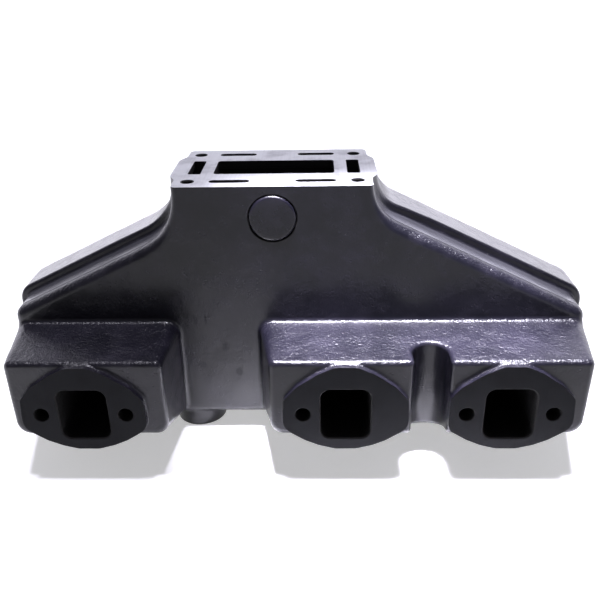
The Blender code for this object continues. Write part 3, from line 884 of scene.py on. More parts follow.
@dataclass
class Casting:
    """The outer shape of the whole iron casting, as one field with fillets where its members meet.

    All members are cut from this field, so that their surfaces run into one another.
    """

    half_length: float = 0.2105
    panel_y: float = 0.0616
    rear_y: float = 0.156
    floor_z: float = -0.0432
    deck_z: float = 0.1428
    riser_x: float = -0.0158
    neck_half: float = 0.069
    neck_radius: dict[int, float] = field(default_factory=lambda: {-1: 0.045, 1: 0.033})
    slope: dict[int, float] = field(default_factory=lambda: {-1: math.radians(25.7), 1: math.radians(26.15)})
    slope_point: dict[int, Point] = field(
        default_factory=lambda: {-1: (0.0987, 0.0947), 1: (0.1124, 0.1011)})
    end_radius: float = 0.009
    floor_radius: float = 0.008
    edge_radius: float = 0.007
    deck_edge_radius: float = 0.0036
    rib_half: float = 0.0175
    rib_height: float = 0.0065
    rib_height_at_deck: float = 0.0045
    rib_flare: float = 0.006
    rib_start: float = 0.060
    rib_bottom: float = 0.002
    rib_fillet: float = 0.0030
    rib_edge: float = 0.0028
    rib_edge_gain: float = 0.0022
    rib_lean: float = 0.25
    neck_blend: Point = (0.104, 0.136)
    port_x: tuple[float, ...] = (-0.1474, 0.0337, 0.14546)
    pad_lobes: tuple[Triple, ...] = (
        (0.0294, 0.0, 0.0136), (0.0376, 0.0102, 0.0046), (0.025, 0.0115, 0.0135), (0.012, 0.020, 0.014),
        (0.005, 0.0269, 0.0108), (0.031, -0.005, 0.0122), (0.022, -0.0105, 0.0125),
        (0.014, -0.0135, 0.013), (0.006, -0.0195, 0.0093))
    pad_depth: float = 0.004
    box_top: float = 0.0394
    box_front_bottom: float = -0.0192
    box_side_radius: Point = (0.0045, 0.0095)
    box_under_radius: float = 0.0095
    box_front_radius: float = 0.0036
    box_reach: float = 0.080
    single_box: tuple[Point, Point] = ((-0.1980, -0.2105), (-0.0904, -0.0888))
    twin_box: tuple[Point, Point] = ((-0.0180, -0.0282), (0.1980, 0.2105))
    belly_half: Point = (0.02455, 0.0273)
    belly_radius: float = 0.0143
    belly_reach: float = 0.034
    belly_fillet: float = 0.004
    pad_span: Point = (-0.006, 0.012)
    pad_draft: float = 0.04
    pad_fillet: float = 0.0016
    groove_x: float = 0.0918
    groove_half: float = 0.0123
    groove_depth: float = 0.0266
    groove_edge: float = 0.0032
    box_fillet: float = 0.0032
    boss_fillet: float = 0.0024
    allowance: float = 0.004
    end_boss_root: float = 0.195
    drain_root: float = -0.030
    spot_root: float = 0.145
    drain: Triple = (-0.081, 0.084, 0.0195)
    drain_z: float = -0.0562
    end_boss_radius: float = 0.022
    end_boss_x: float = 0.2185
    bolt_x: tuple[float, ...] = (-0.1768, -0.1180, 0.0043, 0.11606, 0.17486)
    spot_radius: float = 0.0135
    spot_y: float = 0.158

    def __post_init__(self) -> None:
        """Measure the outlines that the field needs."""
        self.middle_y = (self.panel_y + self.rear_y) / 2
        self.body_profile = Profile(self.body_outline(self.deck_z + 0.012))
        self.pad_profile = Profile(self.pad_outline(0.0), margin=0.012, step=0.0004)

    def shoulder(self, side: int, top: float, steps: int = 40) -> list[Point]:
        """Trace one shoulder.

        Args:
            side: -1 for the left one, 1 for the right one.
            top: Height at which the trace starts on the neck.
            steps: Chords of the neck's arc.

        Returns:
            Points from the neck down to the end wall, as x and z.
        """
        radius, slope = self.neck_radius[side], self.slope[side]
        reach, height = self.slope_point[side]
        fall = math.tan(slope)
        centre_x = self.neck_half + radius
        foot_x = centre_x - radius * math.sin(slope)
        centre_z = height - fall * (foot_x - reach) + radius * math.cos(slope)
        start = 180.0
        if centre_z > top:
            start += math.degrees(math.asin((centre_z - top) / radius))
        neck = arc((centre_x, centre_z), radius, start, 270 - math.degrees(slope), steps)
        if centre_z < top:
            neck.insert(0, (self.neck_half, top))
        round_x = self.half_length - side * self.riser_x - self.end_radius
        round_z = (height - fall * (round_x - reach)) - self.end_radius / math.cos(slope)
        end = arc((round_x, round_z), self.end_radius, 90 - math.degrees(slope), 0, 12)
        return [(self.riser_x + side * x, z) for x, z in neck + end]

    def body_outline(self, top: float) -> list[Point]:
        """Outline the body as seen from the head side, up to a height."""
        left, right = self.shoulder(-1, top), self.shoulder(1, top)
        edge, floor = self.half_length - self.floor_radius, self.floor_z + self.floor_radius
        left_foot = arc((-edge, floor), self.floor_radius, 180, 270, 10)
        right_foot = arc((edge, floor), self.floor_radius, 270, 360, 10)
        return left_foot + right_foot + right[::-1] + left

    def pad_outline(self, centre: float) -> list[Point]:
        """Outline a port pad: the hull of its bolt lobes, shoulders, crown and foot."""
        points: list[Point] = []
        for x, z, radius in self.pad_lobes:
            for side in (-1, 1):
                points += circle((centre + side * x, z), radius, 96)
        return [points[i] for i in convex_hull_2d(points)]

    def body(self, x: Array, y: Array, z: Array) -> Array:
        """Field of the body with its neck and the water ribs on its shoulders."""
        profile = self.body_profile(x, z)
        near_deck = ramp(z, *self.neck_blend)
        edge = self.edge_radius + (self.deck_edge_radius - self.edge_radius) * near_deck
        body = common(profile, np.abs(y - self.middle_y) - (self.rear_y - self.panel_y) / 2, edge)
        across = np.abs(y - self.middle_y)
        flared = self.rib_half + (self.rib_flare + 0.001) * near_deck
        height = self.rib_height + (self.rib_height_at_deck - self.rib_height) * near_deck
        # near the deck the rib's side leans over its whole flare, which draws an S at the deck's ends
        lean = 1 + self.rib_lean * near_deck
        rib = common(profile - height, (across - flared) / lean,
                     self.rib_edge + self.rib_edge_gain * near_deck)
        rib = common(rib, self.rib_bottom - z, 0.002)
        rib = np.maximum(rib, self.rib_start - np.abs(x - self.riser_x))
        return joined(body, rib, self.rib_fillet + self.rib_fillet * near_deck)

    def box(self, walls: tuple[Point, Point], x: Array, y: Array, z: Array) -> Array:
        """Field of one drafted port box between its left and right walls."""
        (left_front, left_rear), (right_front, right_rear) = walls
        t = np.minimum((y - self.pad_depth) / (self.panel_y - self.pad_depth), 1.0)
        t_near = np.maximum(t, 0.0)
        sides = np.maximum(left_front + (left_rear - left_front) * t - x,
                           x - right_front - (right_rear - right_front) * t)
        drop = self.floor_z - self.box_front_bottom
        lean = math.hypot(1.0, drop / (self.panel_y - self.pad_depth))
        under = (self.box_front_bottom + drop * t - z) / lean
        radius_front, radius_rear = self.box_side_radius
        section = common(sides, z - self.box_top, radius_front + (radius_rear - radius_front) * t_near)
        section = common(section, under, self.box_under_radius)
        section = common(section, self.pad_depth - y, self.box_front_radius)
        return np.maximum(section, y - self.box_reach)

    def boxes(self, x: Array, y: Array, z: Array) -> Array:
        """Field of both port boxes, with the bellies under the runners and the groove between ports."""
        single = self.box(self.single_box, x, y, z)
        twin = self.box(self.twin_box, x, y, z)
        both = np.minimum(single, twin)
        for centre in self.port_x:
            qx = np.abs(x - centre) - (self.belly_half[0] - self.belly_radius)
            qz = np.abs(z) - (self.belly_half[1] - self.belly_radius)
            belly = np.hypot(np.maximum(qx, 0), np.maximum(qz, 0)) + np.minimum(np.maximum(qx, qz), 0)
            belly = belly - self.belly_radius
            belly = np.maximum(common(belly, self.pad_depth - y, 0.002), y - self.belly_reach)
            both = joined(both, belly, self.belly_fillet)
            outline = self.pad_profile(x - centre, z)
            slab = np.maximum(self.pad_span[0] - y, y - self.pad_span[1])
            pad = np.maximum(outline + self.pad_draft * (y - self.pad_depth), slab)
            both = joined(both, pad, self.pad_fillet)
        centre_y = self.pad_depth + self.groove_depth - self.groove_half
        groove = np.hypot(x - self.groove_x, np.maximum(y - centre_y, 0.0)) - self.groove_half
        return common(both, -groove, self.groove_edge)

    def bosses(self, x: Array, y: Array, z: Array) -> Array:
        """Field of the end bosses, the drain boss and the spot faces, before milling takes the allowance."""
        ends = common(np.hypot(y - self.middle_y, z) - self.end_boss_radius,
                      np.abs(x) - self.end_boss_x - self.allowance, 0.001)
        ends = np.maximum(ends, self.end_boss_root - np.abs(x))
        drain = np.maximum(np.hypot(x - self.drain[0], y - self.drain[1]) - self.drain[2],
                           np.maximum(self.drain_z - self.allowance - z, z - self.drain_root))
        spots = np.full_like(drain, 1.0)
        for centre in self.bolt_x:
            spots = np.minimum(spots, np.hypot(x - centre, z) - self.spot_radius)
        spots = np.maximum(spots, np.maximum(y - self.spot_y - self.allowance, self.spot_root - y))
        return np.minimum(np.minimum(ends, drain), spots)

    def __call__(self, x: Array, y: Array, z: Array) -> Array:
        """Field of the whole casting, with the unevenness of its sand mould."""
        x, y, z = np.broadcast_arrays(x, y, z)
        whole = joined(self.body(x, y, z), self.boxes(x, y, z), self.box_fillet)
        whole = joined(whole, self.bosses(x, y, z), self.boss_fillet)
        return whole + SKIN(x, y, z)


# ---- Members of the casting ----

@dataclass
class Foundry:
    """Casts blanks of parts of the whole casting and holds what every member needs."""

    casting: Casting
    finishes: Finishes
    wall: float = 0.005
    port_half: Point = (0.01725, 0.020)
    port_corner: float = 0.007
    groove_wall: float = 0.0033
    runner_wall: float = 0.0035
    bolt_radius: float = 0.00525
    pad_split: float = 0.0030
    box_split: float = 0.0608
    deck_split: float = 0.1373

    def blank(self, low: Sequence[float], high: Sequence[float], step: float) -> Blank:
        """Cast the part of the whole casting that lies between two corners."""
        def shape(x: Array, y: Array, z: Array) -> Array:
            """Cap the casting's field with the sides of the mould box."""
            value = self.casting(x, y, z)
            for axis, low_side, high_side in zip((x, y, z), low, high):
                value = np.maximum(value, np.maximum(low_side - axis, axis - high_side))
            return value
        return Blank(shape, [v - 2.3 * step for v in low], [v + 2.3 * step for v in high], step)

    def cast(self, name: str, blank: Blank) -> bpy.types.Object:
        """Turn a blank into an object that can be machined."""
        return add_object(name, blank.mesh(name))

    def block(self, low: Sequence[float], high: Sequence[float]) -> bpy.types.Object:
        """Make a plain block, which is only ever a cutting tool."""
        outline = [(low[0], low[2]), (high[0], low[2]), (high[0], high[2]), (low[0], high[2])]
        return prism(outline, Axis.Y, low[1], high[1])

    def port_outline(self, centre: float, grow: float = 0.0) -> list[Point]:
        """Outline a port opening, grown by a wall."""
        half = (self.port_half[0] + grow, self.port_half[1] + grow)
        return rounded_rectangle((centre, 0.0), half, self.port_corner + grow)

    def port_tool(self, centre: float, mouth: float = 0.0, lip: float = 0.0008) -> bpy.types.Object:
        """Make a cutter for a port whose mouth, at a depth, has its edge broken by a lip."""
        loops = []
        for y, grow in ((mouth - 0.01, lip + 0.01), (mouth, lip), (mouth + lip, 0.0), (0.012, 0.0)):
            loops.append([(x, y, z) for x, z in self.port_outline(centre, grow)])
        return loft("port_tool", loops)

    def drill(self, axis: Axis, centre: Sequence[float], radius: float, low: float, high: float,
              lip: float = 0.0004, mouth: float | None = None, sides: int = 48) -> bpy.types.Object:
        """Make a drill for a round hole, with a countersink at its mouth.

        Args:
            axis: Axis of the hole.
            centre: A point on that axis.
            radius: Radius of the hole.
            low: One end along the axis.
            high: The other end, further along.
            lip: Width of the countersink.
            mouth: Height of the hole's mouth along the axis, or None for a plain hole.
            sides: Number of sides.

        Returns:
            The drill.
        """
        along = axis.value[2]
        centre = [0.0 if i == along else value for i, value in enumerate(centre)]
        outline = [(radius, low), (radius, high)]
        if mouth is not None:
            near_low = abs(mouth - low) < abs(mouth - high)
            end, way = (low, 1) if near_low else (high, -1)
            sink = [(radius + lip + abs(mouth - end), end), (radius + lip, mouth),
                    (radius, mouth + way * lip)]
            outline = sink + [(radius, high)] if near_low else [(radius, low)] + sink[::-1]
        return turned(outline, axis, centre, sides)


@dataclass
class PortPads:
    """The three raised pads that seal against the cylinder head."""

    foundry: Foundry
    half_width: float = 0.052
    bolt_sides: tuple[tuple[int, ...], ...] = ((-1, 1), (-1,), (-1, 1))
    bolt_offset: float = 0.0294
    step: float = 0.0008

    def build(self) -> None:
        """Cast and machine every pad."""
        foundry, casting = self.foundry, self.foundry.casting
        finishes = foundry.finishes
        for number, (x, sides) in enumerate(zip(casting.port_x, self.bolt_sides), start=1):
            blank = foundry.blank((x - self.half_width, -0.004, -0.034), (x + self.half_width, 0.006, 0.043),
                                  self.step)
            pad = foundry.cast("pad", blank)
            keep = foundry.block((x - self.half_width + 0.002, 0.0, -0.032),
                                 (x + self.half_width - 0.002, foundry.pad_split, 0.041))
            machine(pad, [keep], "INTERSECT")
            tools = [foundry.port_tool(x)]
            for side in sides:
                centre = (x + side * self.bolt_offset, 0.0, 0.0)
                tools.append(foundry.drill(Axis.Y, centre, foundry.bolt_radius, -0.01, 0.02, 0.0005, 0.0))
            machine(pad, tools)
            finish_casting(pad, blank, (finishes.enamel, finishes.passage, finishes.port_face),
                           [Plane(1, 0.0)])
            hand_over(pad, f"cast_port_pad_{number}", "port_face_iron", f"port_pad_{number}")


@dataclass
class PortBox:
    """A water-jacketed box round one port or two."""

    foundry: Foundry
    name: str
    node: str
    walls: tuple[Point, Point]
    ports: tuple[int, ...]
    cavities: Sequence[tuple[Point, Point]]
    step: float = 0.00105

    def cavity_tool(self, walls: tuple[Point, Point]) -> bpy.types.Object:
        """Make the cutter for the water space between two walls."""
        casting, wall = self.foundry.casting, self.foundry.wall
        (left_front, left_rear), (right_front, right_rear) = walls
        loops = []
        for y, left, right, bottom in (
                (casting.pad_depth + wall, left_front, right_front, casting.box_front_bottom),
                (casting.panel_y + wall, left_rear, right_rear, casting.floor_z)):
            low, high = (left + wall, bottom + wall), (right - wall, casting.box_top - wall)
            middle = ((low[0] + high[0]) / 2, (low[1] + high[1]) / 2)
            half = ((high[0] - low[0]) / 2, (high[1] - low[1]) / 2)
            loops.append([(x, y, z) for x, z in rounded_rectangle(middle, half, 0.004, 4)])
        return loft("cavity", loops)

    def build(self) -> None:
        """Cast, hollow and machine the box."""
        foundry, casting = self.foundry, self.foundry.casting
        finishes = foundry.finishes
        left = min(self.walls[0]) - 0.007
        right = max(self.walls[1]) + 0.007
        blank = foundry.blank((left, -0.001, -0.050), (right, 0.0635, 0.048), self.step)
        box = foundry.cast("box", blank)
        keep = foundry.block((left + 0.002, foundry.pad_split, -0.0485),
                             (right - 0.002, foundry.box_split, 0.0465))
        machine(box, [keep], "INTERSECT")
        tools = [self.cavity_tool(walls) for walls in self.cavities]
        for number in self.ports:
            x = casting.port_x[number - 1]
            sleeve = foundry.port_outline(x, foundry.runner_wall + 0.0003)
            tools.append(prism(sleeve, Axis.Y, casting.pad_depth + foundry.wall, 0.075))
            tools.append(foundry.port_tool(x))
        for x in casting.bolt_x:
            if left < x < right:
                tools.append(foundry.drill(Axis.Y, (x, 0.0, 0.0), foundry.bolt_radius, -0.01, 0.012))
        machine(box, tools)
        finish_casting(box, blank, (finishes.enamel, finishes.passage))
        hand_over(box, self.name, "painted_iron", self.node)


@dataclass
class RiserDeck:
    """The milled deck that the riser bolts to, with its gas, water and stud openings."""

    foundry: Foundry
    main_half: Point = (0.0433, 0.0170)
    end_port_x: Point = (0.0524, 0.0617)
    slot_x: Point = (0.0159, 0.0440)
    slot_y: float = 0.0345
    slot_width: float = 0.0065
    stud: Point = (0.0590, 0.0345)
    stud_radius: float = 0.0042
    step: float = 0.0009

    def openings(self) -> list[list[Point]]:
        """Outline every opening but the stud holes."""
        x, y = self.foundry.casting.riser_x, self.foundry.casting.middle_y
        outlines = [rounded_rectangle((x, y), self.main_half, 0.003)]
        slot_half = ((self.slot_x[1] - self.slot_x[0]) / 2, self.slot_width / 2)
        end_half = ((self.end_port_x[1] - self.end_port_x[0]) / 2, self.main_half[1])
        for sx in (-1, 1):
            centre = (x + sx * sum(self.end_port_x) / 2, y)
            outlines.append(rounded_rectangle(centre, end_half, 0.0014))
            for sy in (-1, 1):
                centre = (x + sx * sum(self.slot_x) / 2, y + sy * self.slot_y)
                slot = rounded_rectangle(centre, slot_half, self.slot_width / 2 - 1e-4)
                outlines.append(slot)
        return outlines

    def studs(self) -> list[Point]:
        """List the centres of the stud holes."""
        x, y = self.foundry.casting.riser_x, self.foundry.casting.middle_y
        return [(x + sx * self.stud[0], y + sy * self.stud[1]) for sx in (-1, 1) for sy in (-1, 1)]

    def tools(self) -> list[bpy.types.Object]:
        """Make the cutters for every opening, from above the deck down to the neck's water space."""
        foundry, top = self.foundry, self.foundry.casting.deck_z
        tools = [prism(outline, Axis.Z, top - 0.012, top + 0.01) for outline in self.openings()]
        for x, y in self.studs():
            tools.append(foundry.drill(Axis.Z, (x, y, 0.0), self.stud_radius, top - 0.020, top + 0.01,
                                       0.0006, top))
        return tools

    def build(self) -> None:
        """Cast the deck, mill its top and cut its openings."""
        foundry, casting = self.foundry, self.foundry.casting
        finishes = foundry.finishes
        low = (casting.riser_x - 0.082, casting.panel_y - 0.004, foundry.deck_split - 0.003)
        high = (casting.riser_x + 0.082, casting.rear_y + 0.004, casting.deck_z + 0.003)
        blank = foundry.blank(low, high, self.step)
        deck = foundry.cast("deck", blank)
        keep = foundry.block((low[0] + 0.002, low[1] + 0.002, foundry.deck_split),
                             (high[0] - 0.002, high[1] - 0.002, casting.deck_z))
        machine(deck, [keep], "INTERSECT")
        machine(deck, self.tools())
        finish_casting(deck, blank, (finishes.enamel, finishes.passage, finishes.deck_face),
                       [Plane(2, casting.deck_z)], sharp=30.0)
        hand_over(deck, "milled_riser_deck", "machined_iron", "riser_flange")


@dataclass
class Body:
    """The hollow body with its two shoulders, its neck and the water ribs that climb the shoulders."""

    foundry: Foundry
    deck: RiserDeck
    step: float = 0.00155
    ceiling: float = 0.1128
    outline_top: float = 0.137
    shortest_chord: float = 0.0003
    window_half: Point = (0.040, 0.028)
    core_plug: tuple[float, float] = (0.0167, 0.1199)
    rear_plug_x: tuple[float, ...] = (-0.060, 0.060)
    rear_plug_radius: float = 0.0192
    end_bore: float = 0.0119
    drain_bore: float = 0.0084
    rib_foot: float = 0.0200
    rib_seam: float = 0.0006
    rib_room: float = 0.012
    rib_reach: float = 0.036
    bolt_depth: float = 0.0075
    low: Triple = (-0.2230, 0.0575, -0.0610)
    high: Triple = (0.2230, 0.1625, 0.1415)
    trim: float = 0.0005

    def cavity_tools(self) -> list[bpy.types.Object]:
        """Make the cutters for the water space of the body and of the neck."""
        foundry, casting, wall = self.foundry, self.foundry.casting, self.foundry.wall
        outline = self.shifted(casting.body_outline(self.outline_top), -wall, closed=True)
        inside = [(x, min(z, self.ceiling)) for x, z in outline]
        inside = [p for i, p in enumerate(inside) if math.dist(p, inside[i - 1]) > self.shortest_chord]
        tools = [prism(inside, Axis.Y, casting.panel_y + wall, casting.rear_y - wall)]
        depth = casting.middle_y - casting.panel_y - wall
        half = self.deck.main_half
        cross = [(half[0] + wall, depth), (half[0] + wall, half[1]), (casting.neck_half - wall, half[1])]
        plus = []
        for sx, sy, order in ((1, 1, cross[::-1]), (-1, 1, cross), (-1, -1, cross[::-1]), (1, -1, cross)):
            plus += [(casting.riser_x + sx * x, casting.middle_y + sy * y) for x, y in order]
        tools.append(prism(plus, Axis.Z, self.ceiling - wall, casting.deck_z + 0.01))
        for x in casting.port_x:
            low = (x - self.window_half[0], foundry.box_split - 0.02, -self.window_half[1])
            high = (x + self.window_half[0], casting.panel_y + 1.5 * wall, self.window_half[1])
            tools.append(foundry.block(low, high))
        return tools

    @staticmethod
    def shifted(path: Sequence[Point], distance: float, closed: bool) -> list[Point]:
        """Move a path to its right by a distance, which is outwards on a counter-clockwise outline."""
        moved = []
        last = len(path) - 1
        for i, (x, y) in enumerate(path):
            if closed:
                before, after = path[i - 1], path[(i + 1) % len(path)]
            else:
                before, after = path[max(i - 1, 0)], path[min(i + 1, last)]
            run = (after[0] - before[0], after[1] - before[1])
            length = math.hypot(*run)
            moved.append((x + run[1] / length * distance, y - run[0] / length * distance))
        return moved

    def hole_tools(self) -> list[bpy.types.Object]:
        """Make the cutters for the plugs' seats, the bolts and the bores in the bosses."""
        foundry, casting, wall = self.foundry, self.foundry.casting, self.foundry.wall
        radius, height = self.core_plug
        y = casting.panel_y
        tools = [turned([(radius + 0.0022, y - 0.004), (radius + 0.0010, y - 0.0002), (radius, y + 0.0012),
                         (radius, y + 1.5 * wall)], Axis.Y, (casting.riser_x, 0.0, height))]
        y = casting.rear_y
        for x in self.rear_plug_x:
            profile = [(self.rear_plug_radius, y - 1.5 * wall), (self.rear_plug_radius, y - 0.001),
                       (self.rear_plug_radius + 0.001, y), (self.rear_plug_radius + 0.003, y + 0.004)]
            tools.append(turned(profile, Axis.Y, (x, 0.0, 0.0)))
        for x in casting.bolt_x:
            tools.append(foundry.drill(Axis.Y, (x, 0.0, 0.0), foundry.bolt_radius, y - self.bolt_depth,
                                       y + 0.02))
        tools.append(foundry.drill(Axis.Z, casting.drain, self.drain_bore, -0.07,
                                   casting.floor_z + self.bolt_depth))
        centre = (0.0, casting.middle_y, 0.0)
        for sx in (-1, 1):
            low, high = sorted((sx * 0.203, sx * 0.24))
            tools.append(foundry.drill(Axis.X, centre, self.end_bore, low, high))
        return tools

    def rib_tool(self, side: Side) -> bpy.types.Object:
        """Make the solid that divides a rib from the shoulder under it."""
        casting, s = self.foundry.casting, side.value
        path = casting.shoulder(s, self.foundry.deck_split + 0.02, 24)
        path.append((s * casting.half_length, self.rib_foot))
        if s > 0:
            path = path[::-1]
        near = self.shifted(path, self.rib_seam, closed=False)
        far = self.shifted(path, self.rib_room, closed=False)
        return prism(near + far[::-1], Axis.Y, casting.middle_y - self.rib_reach,
                     casting.middle_y + self.rib_reach)

    def build(self) -> None:
        """Cast the body once, divide the ribs and the bosses from it, then hollow and bore it."""
        foundry, casting = self.foundry, self.foundry.casting
        finishes = foundry.finishes
        blank = foundry.blank(self.low, self.high, self.step)
        whole = foundry.cast("body", blank)
        bosses = Bosses(foundry, self)
        trim = self.trim
        keep = foundry.block((self.low[0] + trim, foundry.box_split, self.low[2] + trim),
                             (self.high[0] - trim, self.high[1] - trim, foundry.deck_split))
        machine(whole, [keep], "INTERSECT")
        for side, node in ((Side.LEFT, "left_shoulder_rib"), (Side.RIGHT, "right_shoulder_rib")):
            rib = add_object("rib", whole.data.copy())
            machine(rib, [self.rib_tool(side)], "INTERSECT")
            machine(rib, bosses.seat_tools())
            finish_casting(rib, blank, (finishes.enamel, finishes.passage))
            hand_over(rib, f"cast_{node}", "painted_iron", node)
            machine(whole, [self.rib_tool(side)])
        machine(whole, bosses.seat_tools())
        machine(whole, self.cavity_tools())
        machine(whole, self.hole_tools())
        machine(whole, self.deck.tools())
        finish_casting(whole, blank, (finishes.enamel, finishes.passage))
        hand_over(whole, "cast_water_jacket_body", "painted_iron", "water_jacket")
        bosses.build()


@dataclass
class ScrewThread:
    """A tapped thread: one helical ridge, set into every hole of a row by Geometry Nodes."""

    radius: float
    depth: float
    pitch: float
    ridge: float = 0.00045
    steps: int = 28
    lead_in: float = 0.001

    def tree(self) -> bpy.types.NodeTree:
        """Build the node tree that grows one helical ridge at each point of a mesh."""
        group = bpy.data.node_groups.new("screw_thread", "GeometryNodeTree")
        group.interface.new_socket("Holes", in_out="INPUT", socket_type="NodeSocketGeometry")
        for name, kind in (("Radius", "Float"), ("Depth", "Float"), ("Pitch", "Float"), ("Ridge", "Float"),
                           ("Steps", "Int"), ("Turn", "Rotation"), ("Finish", "Material")):
            group.interface.new_socket(name, in_out="INPUT", socket_type=f"NodeSocket{kind}")
        group.interface.new_socket("Threads", in_out="OUTPUT", socket_type="NodeSocketGeometry")
        t = Tree(group)
        given = {socket.name: Value(t, socket) for socket in t.nodes.new("NodeGroupInput").outputs}
        turns = given["Depth"].over(given["Pitch"])
        helix = t.node("GeometryNodeCurveSpiral", None,
                       {"Resolution": given["Steps"], "Rotations": turns, "Start Radius": given["Radius"],
                        "End Radius": given["Radius"], "Height": given["Depth"]})
        section = t.node("GeometryNodeCurvePrimitiveCircle", None,
                         {"Resolution": 3, "Radius": given["Ridge"]})
        ridge = t.node("GeometryNodeCurveToMesh", None,
                       {"Curve": helix, "Profile Curve": section, "Fill Caps": True})
        ridges = t.node("GeometryNodeInstanceOnPoints", None,
                        {"Points": given["Holes"], "Instance": ridge, "Rotation": given["Turn"]})
        solid = t.node("GeometryNodeRealizeInstances", None, {"Geometry": ridges})
        dressed = t.node("GeometryNodeSetMaterial", None, {"Geometry": solid, "Material": given["Finish"]})
        t.feed(t.nodes.new("NodeGroupOutput").inputs[0], dressed)
        return group

    def build(self, name: str, feet: Sequence[Triple], turn: Triple,
              finish: bpy.types.Material) -> None:
        """Grow the ridges and hand them over as one piece.

        Args:
            name: Name of the piece.
            feet: The inner end of each hole's thread, on the hole's centre line.
            turn: Euler angles that bring the helix, which rises along Z, onto the holes' direction.
            finish: The finish of the ridges.
        """
        seeds = bpy.data.meshes.new(name)
        seeds.from_pydata(list(feet), [], [])
        obj = add_object(name, seeds)
        modifier = obj.modifiers.new("thread", "NODES")
        modifier.node_group = self.tree()
        values = {"Radius": self.radius, "Depth": self.depth, "Pitch": self.pitch, "Ridge": self.ridge,
                  "Steps": self.steps, "Turn": turn, "Finish": finish}
        for item in modifier.node_group.interface.items_tree:
            if item.in_out == "INPUT" and item.name in values:
                modifier[item.identifier] = values[item.name]
        grown = obj.evaluated_get(bpy.context.evaluated_depsgraph_get())
        mesh = bpy.data.meshes.new_from_object(grown)
        obj.modifiers.clear()
        obj.data = mesh
        solid = bmesh.new()
        solid.from_mesh(mesh)
        if solid.calc_volume(signed=True) < 0:
            mesh.flip_normals()
        solid.free()
        hand_over(obj, name, "machined_iron")


@dataclass
class Bosses:
    """The end bosses, the drain boss and the spot faces of the long bolts."""

    foundry: Foundry
    body: Body
    seam: float = 0.0007
    step: float = 0.0009
    end_seat: float = 0.0236
    drain_seat: float = 0.0208
    spot_seat: float = 0.0147

    def places(self) -> list[tuple[str, str, Axis, Triple, float, float, float, bool]]:
        """List each boss: its names, axis, centre, seat radius, foot, machined end and finish of its end."""
        casting = self.foundry.casting
        centre = (0.0, casting.middle_y, 0.0)
        rows = [("cast_left_end_boss", "left_end_boss", Axis.X, centre, self.end_seat,
                 -casting.half_length - self.seam, -casting.end_boss_x, False),
                ("cast_right_end_boss", "right_end_boss", Axis.X, centre, self.end_seat,
                 casting.half_length + self.seam, casting.end_boss_x, False),
                ("cast_drain_boss", "drain_boss", Axis.Z, casting.drain[:2] + (0.0,), self.drain_seat,
                 casting.floor_z - self.seam, casting.drain_z, False)]
        for x, tag in zip(casting.bolt_x, ("1a", "1b", "2a", "3a", "3b")):
            rows.append((f"spot_face_{tag}", f"bolt_face_{tag}", Axis.Y, (x, 0.0, 0.0), self.spot_seat,
                         casting.rear_y + self.seam, casting.spot_y, True))
        return rows

    def seat_tools(self) -> list[bpy.types.Object]:
        """Make the solids that divide every boss from the body."""
        tools = []
        for _, _, axis, centre, seat, foot, end, _ in self.places():
            low, high = sorted((foot, end + math.copysign(0.01, end)))
            tools.append(self.foundry.drill(axis, centre, seat, low, high))
        return tools

    def build(self) -> None:
        """Cast each boss on its own finer blank and machine its end and its bore."""
        foundry, finishes = self.foundry, self.foundry.finishes
        for name, node, axis, centre, seat, foot, end, bare in self.places():
            first, second, along = axis.value
            low, high = list(centre), list(centre)
            for i in (first, second):
                low[i], high[i] = centre[i] - seat - 0.004, centre[i] + seat + 0.004
            margin = math.copysign(0.002, end)
            low[along], high[along] = sorted((foot - margin, end + margin))
            blank = foundry.blank(low, high, self.step)
            boss = foundry.cast("boss", blank)
            near, far = sorted((foot, end))
            machine(boss, [foundry.drill(axis, centre, seat, near, far, sides=96)], "INTERSECT")
            bore = {Axis.X: self.body.end_bore, Axis.Z: self.body.drain_bore}.get(axis, foundry.bolt_radius)
            reach = sorted((foot - math.copysign(0.01, end), end + math.copysign(0.006, end)))
            machine(boss, [foundry.drill(axis, centre, bore, reach[0], reach[1], 0.0009, end)])
            face = finishes.deck_face if bare else finishes.port_face
            finish_casting(boss, blank, (finishes.enamel, finishes.passage, face), [Plane(along, end)])
            hand_over(boss, name, "machined_iron" if bare else "painted_iron", node)


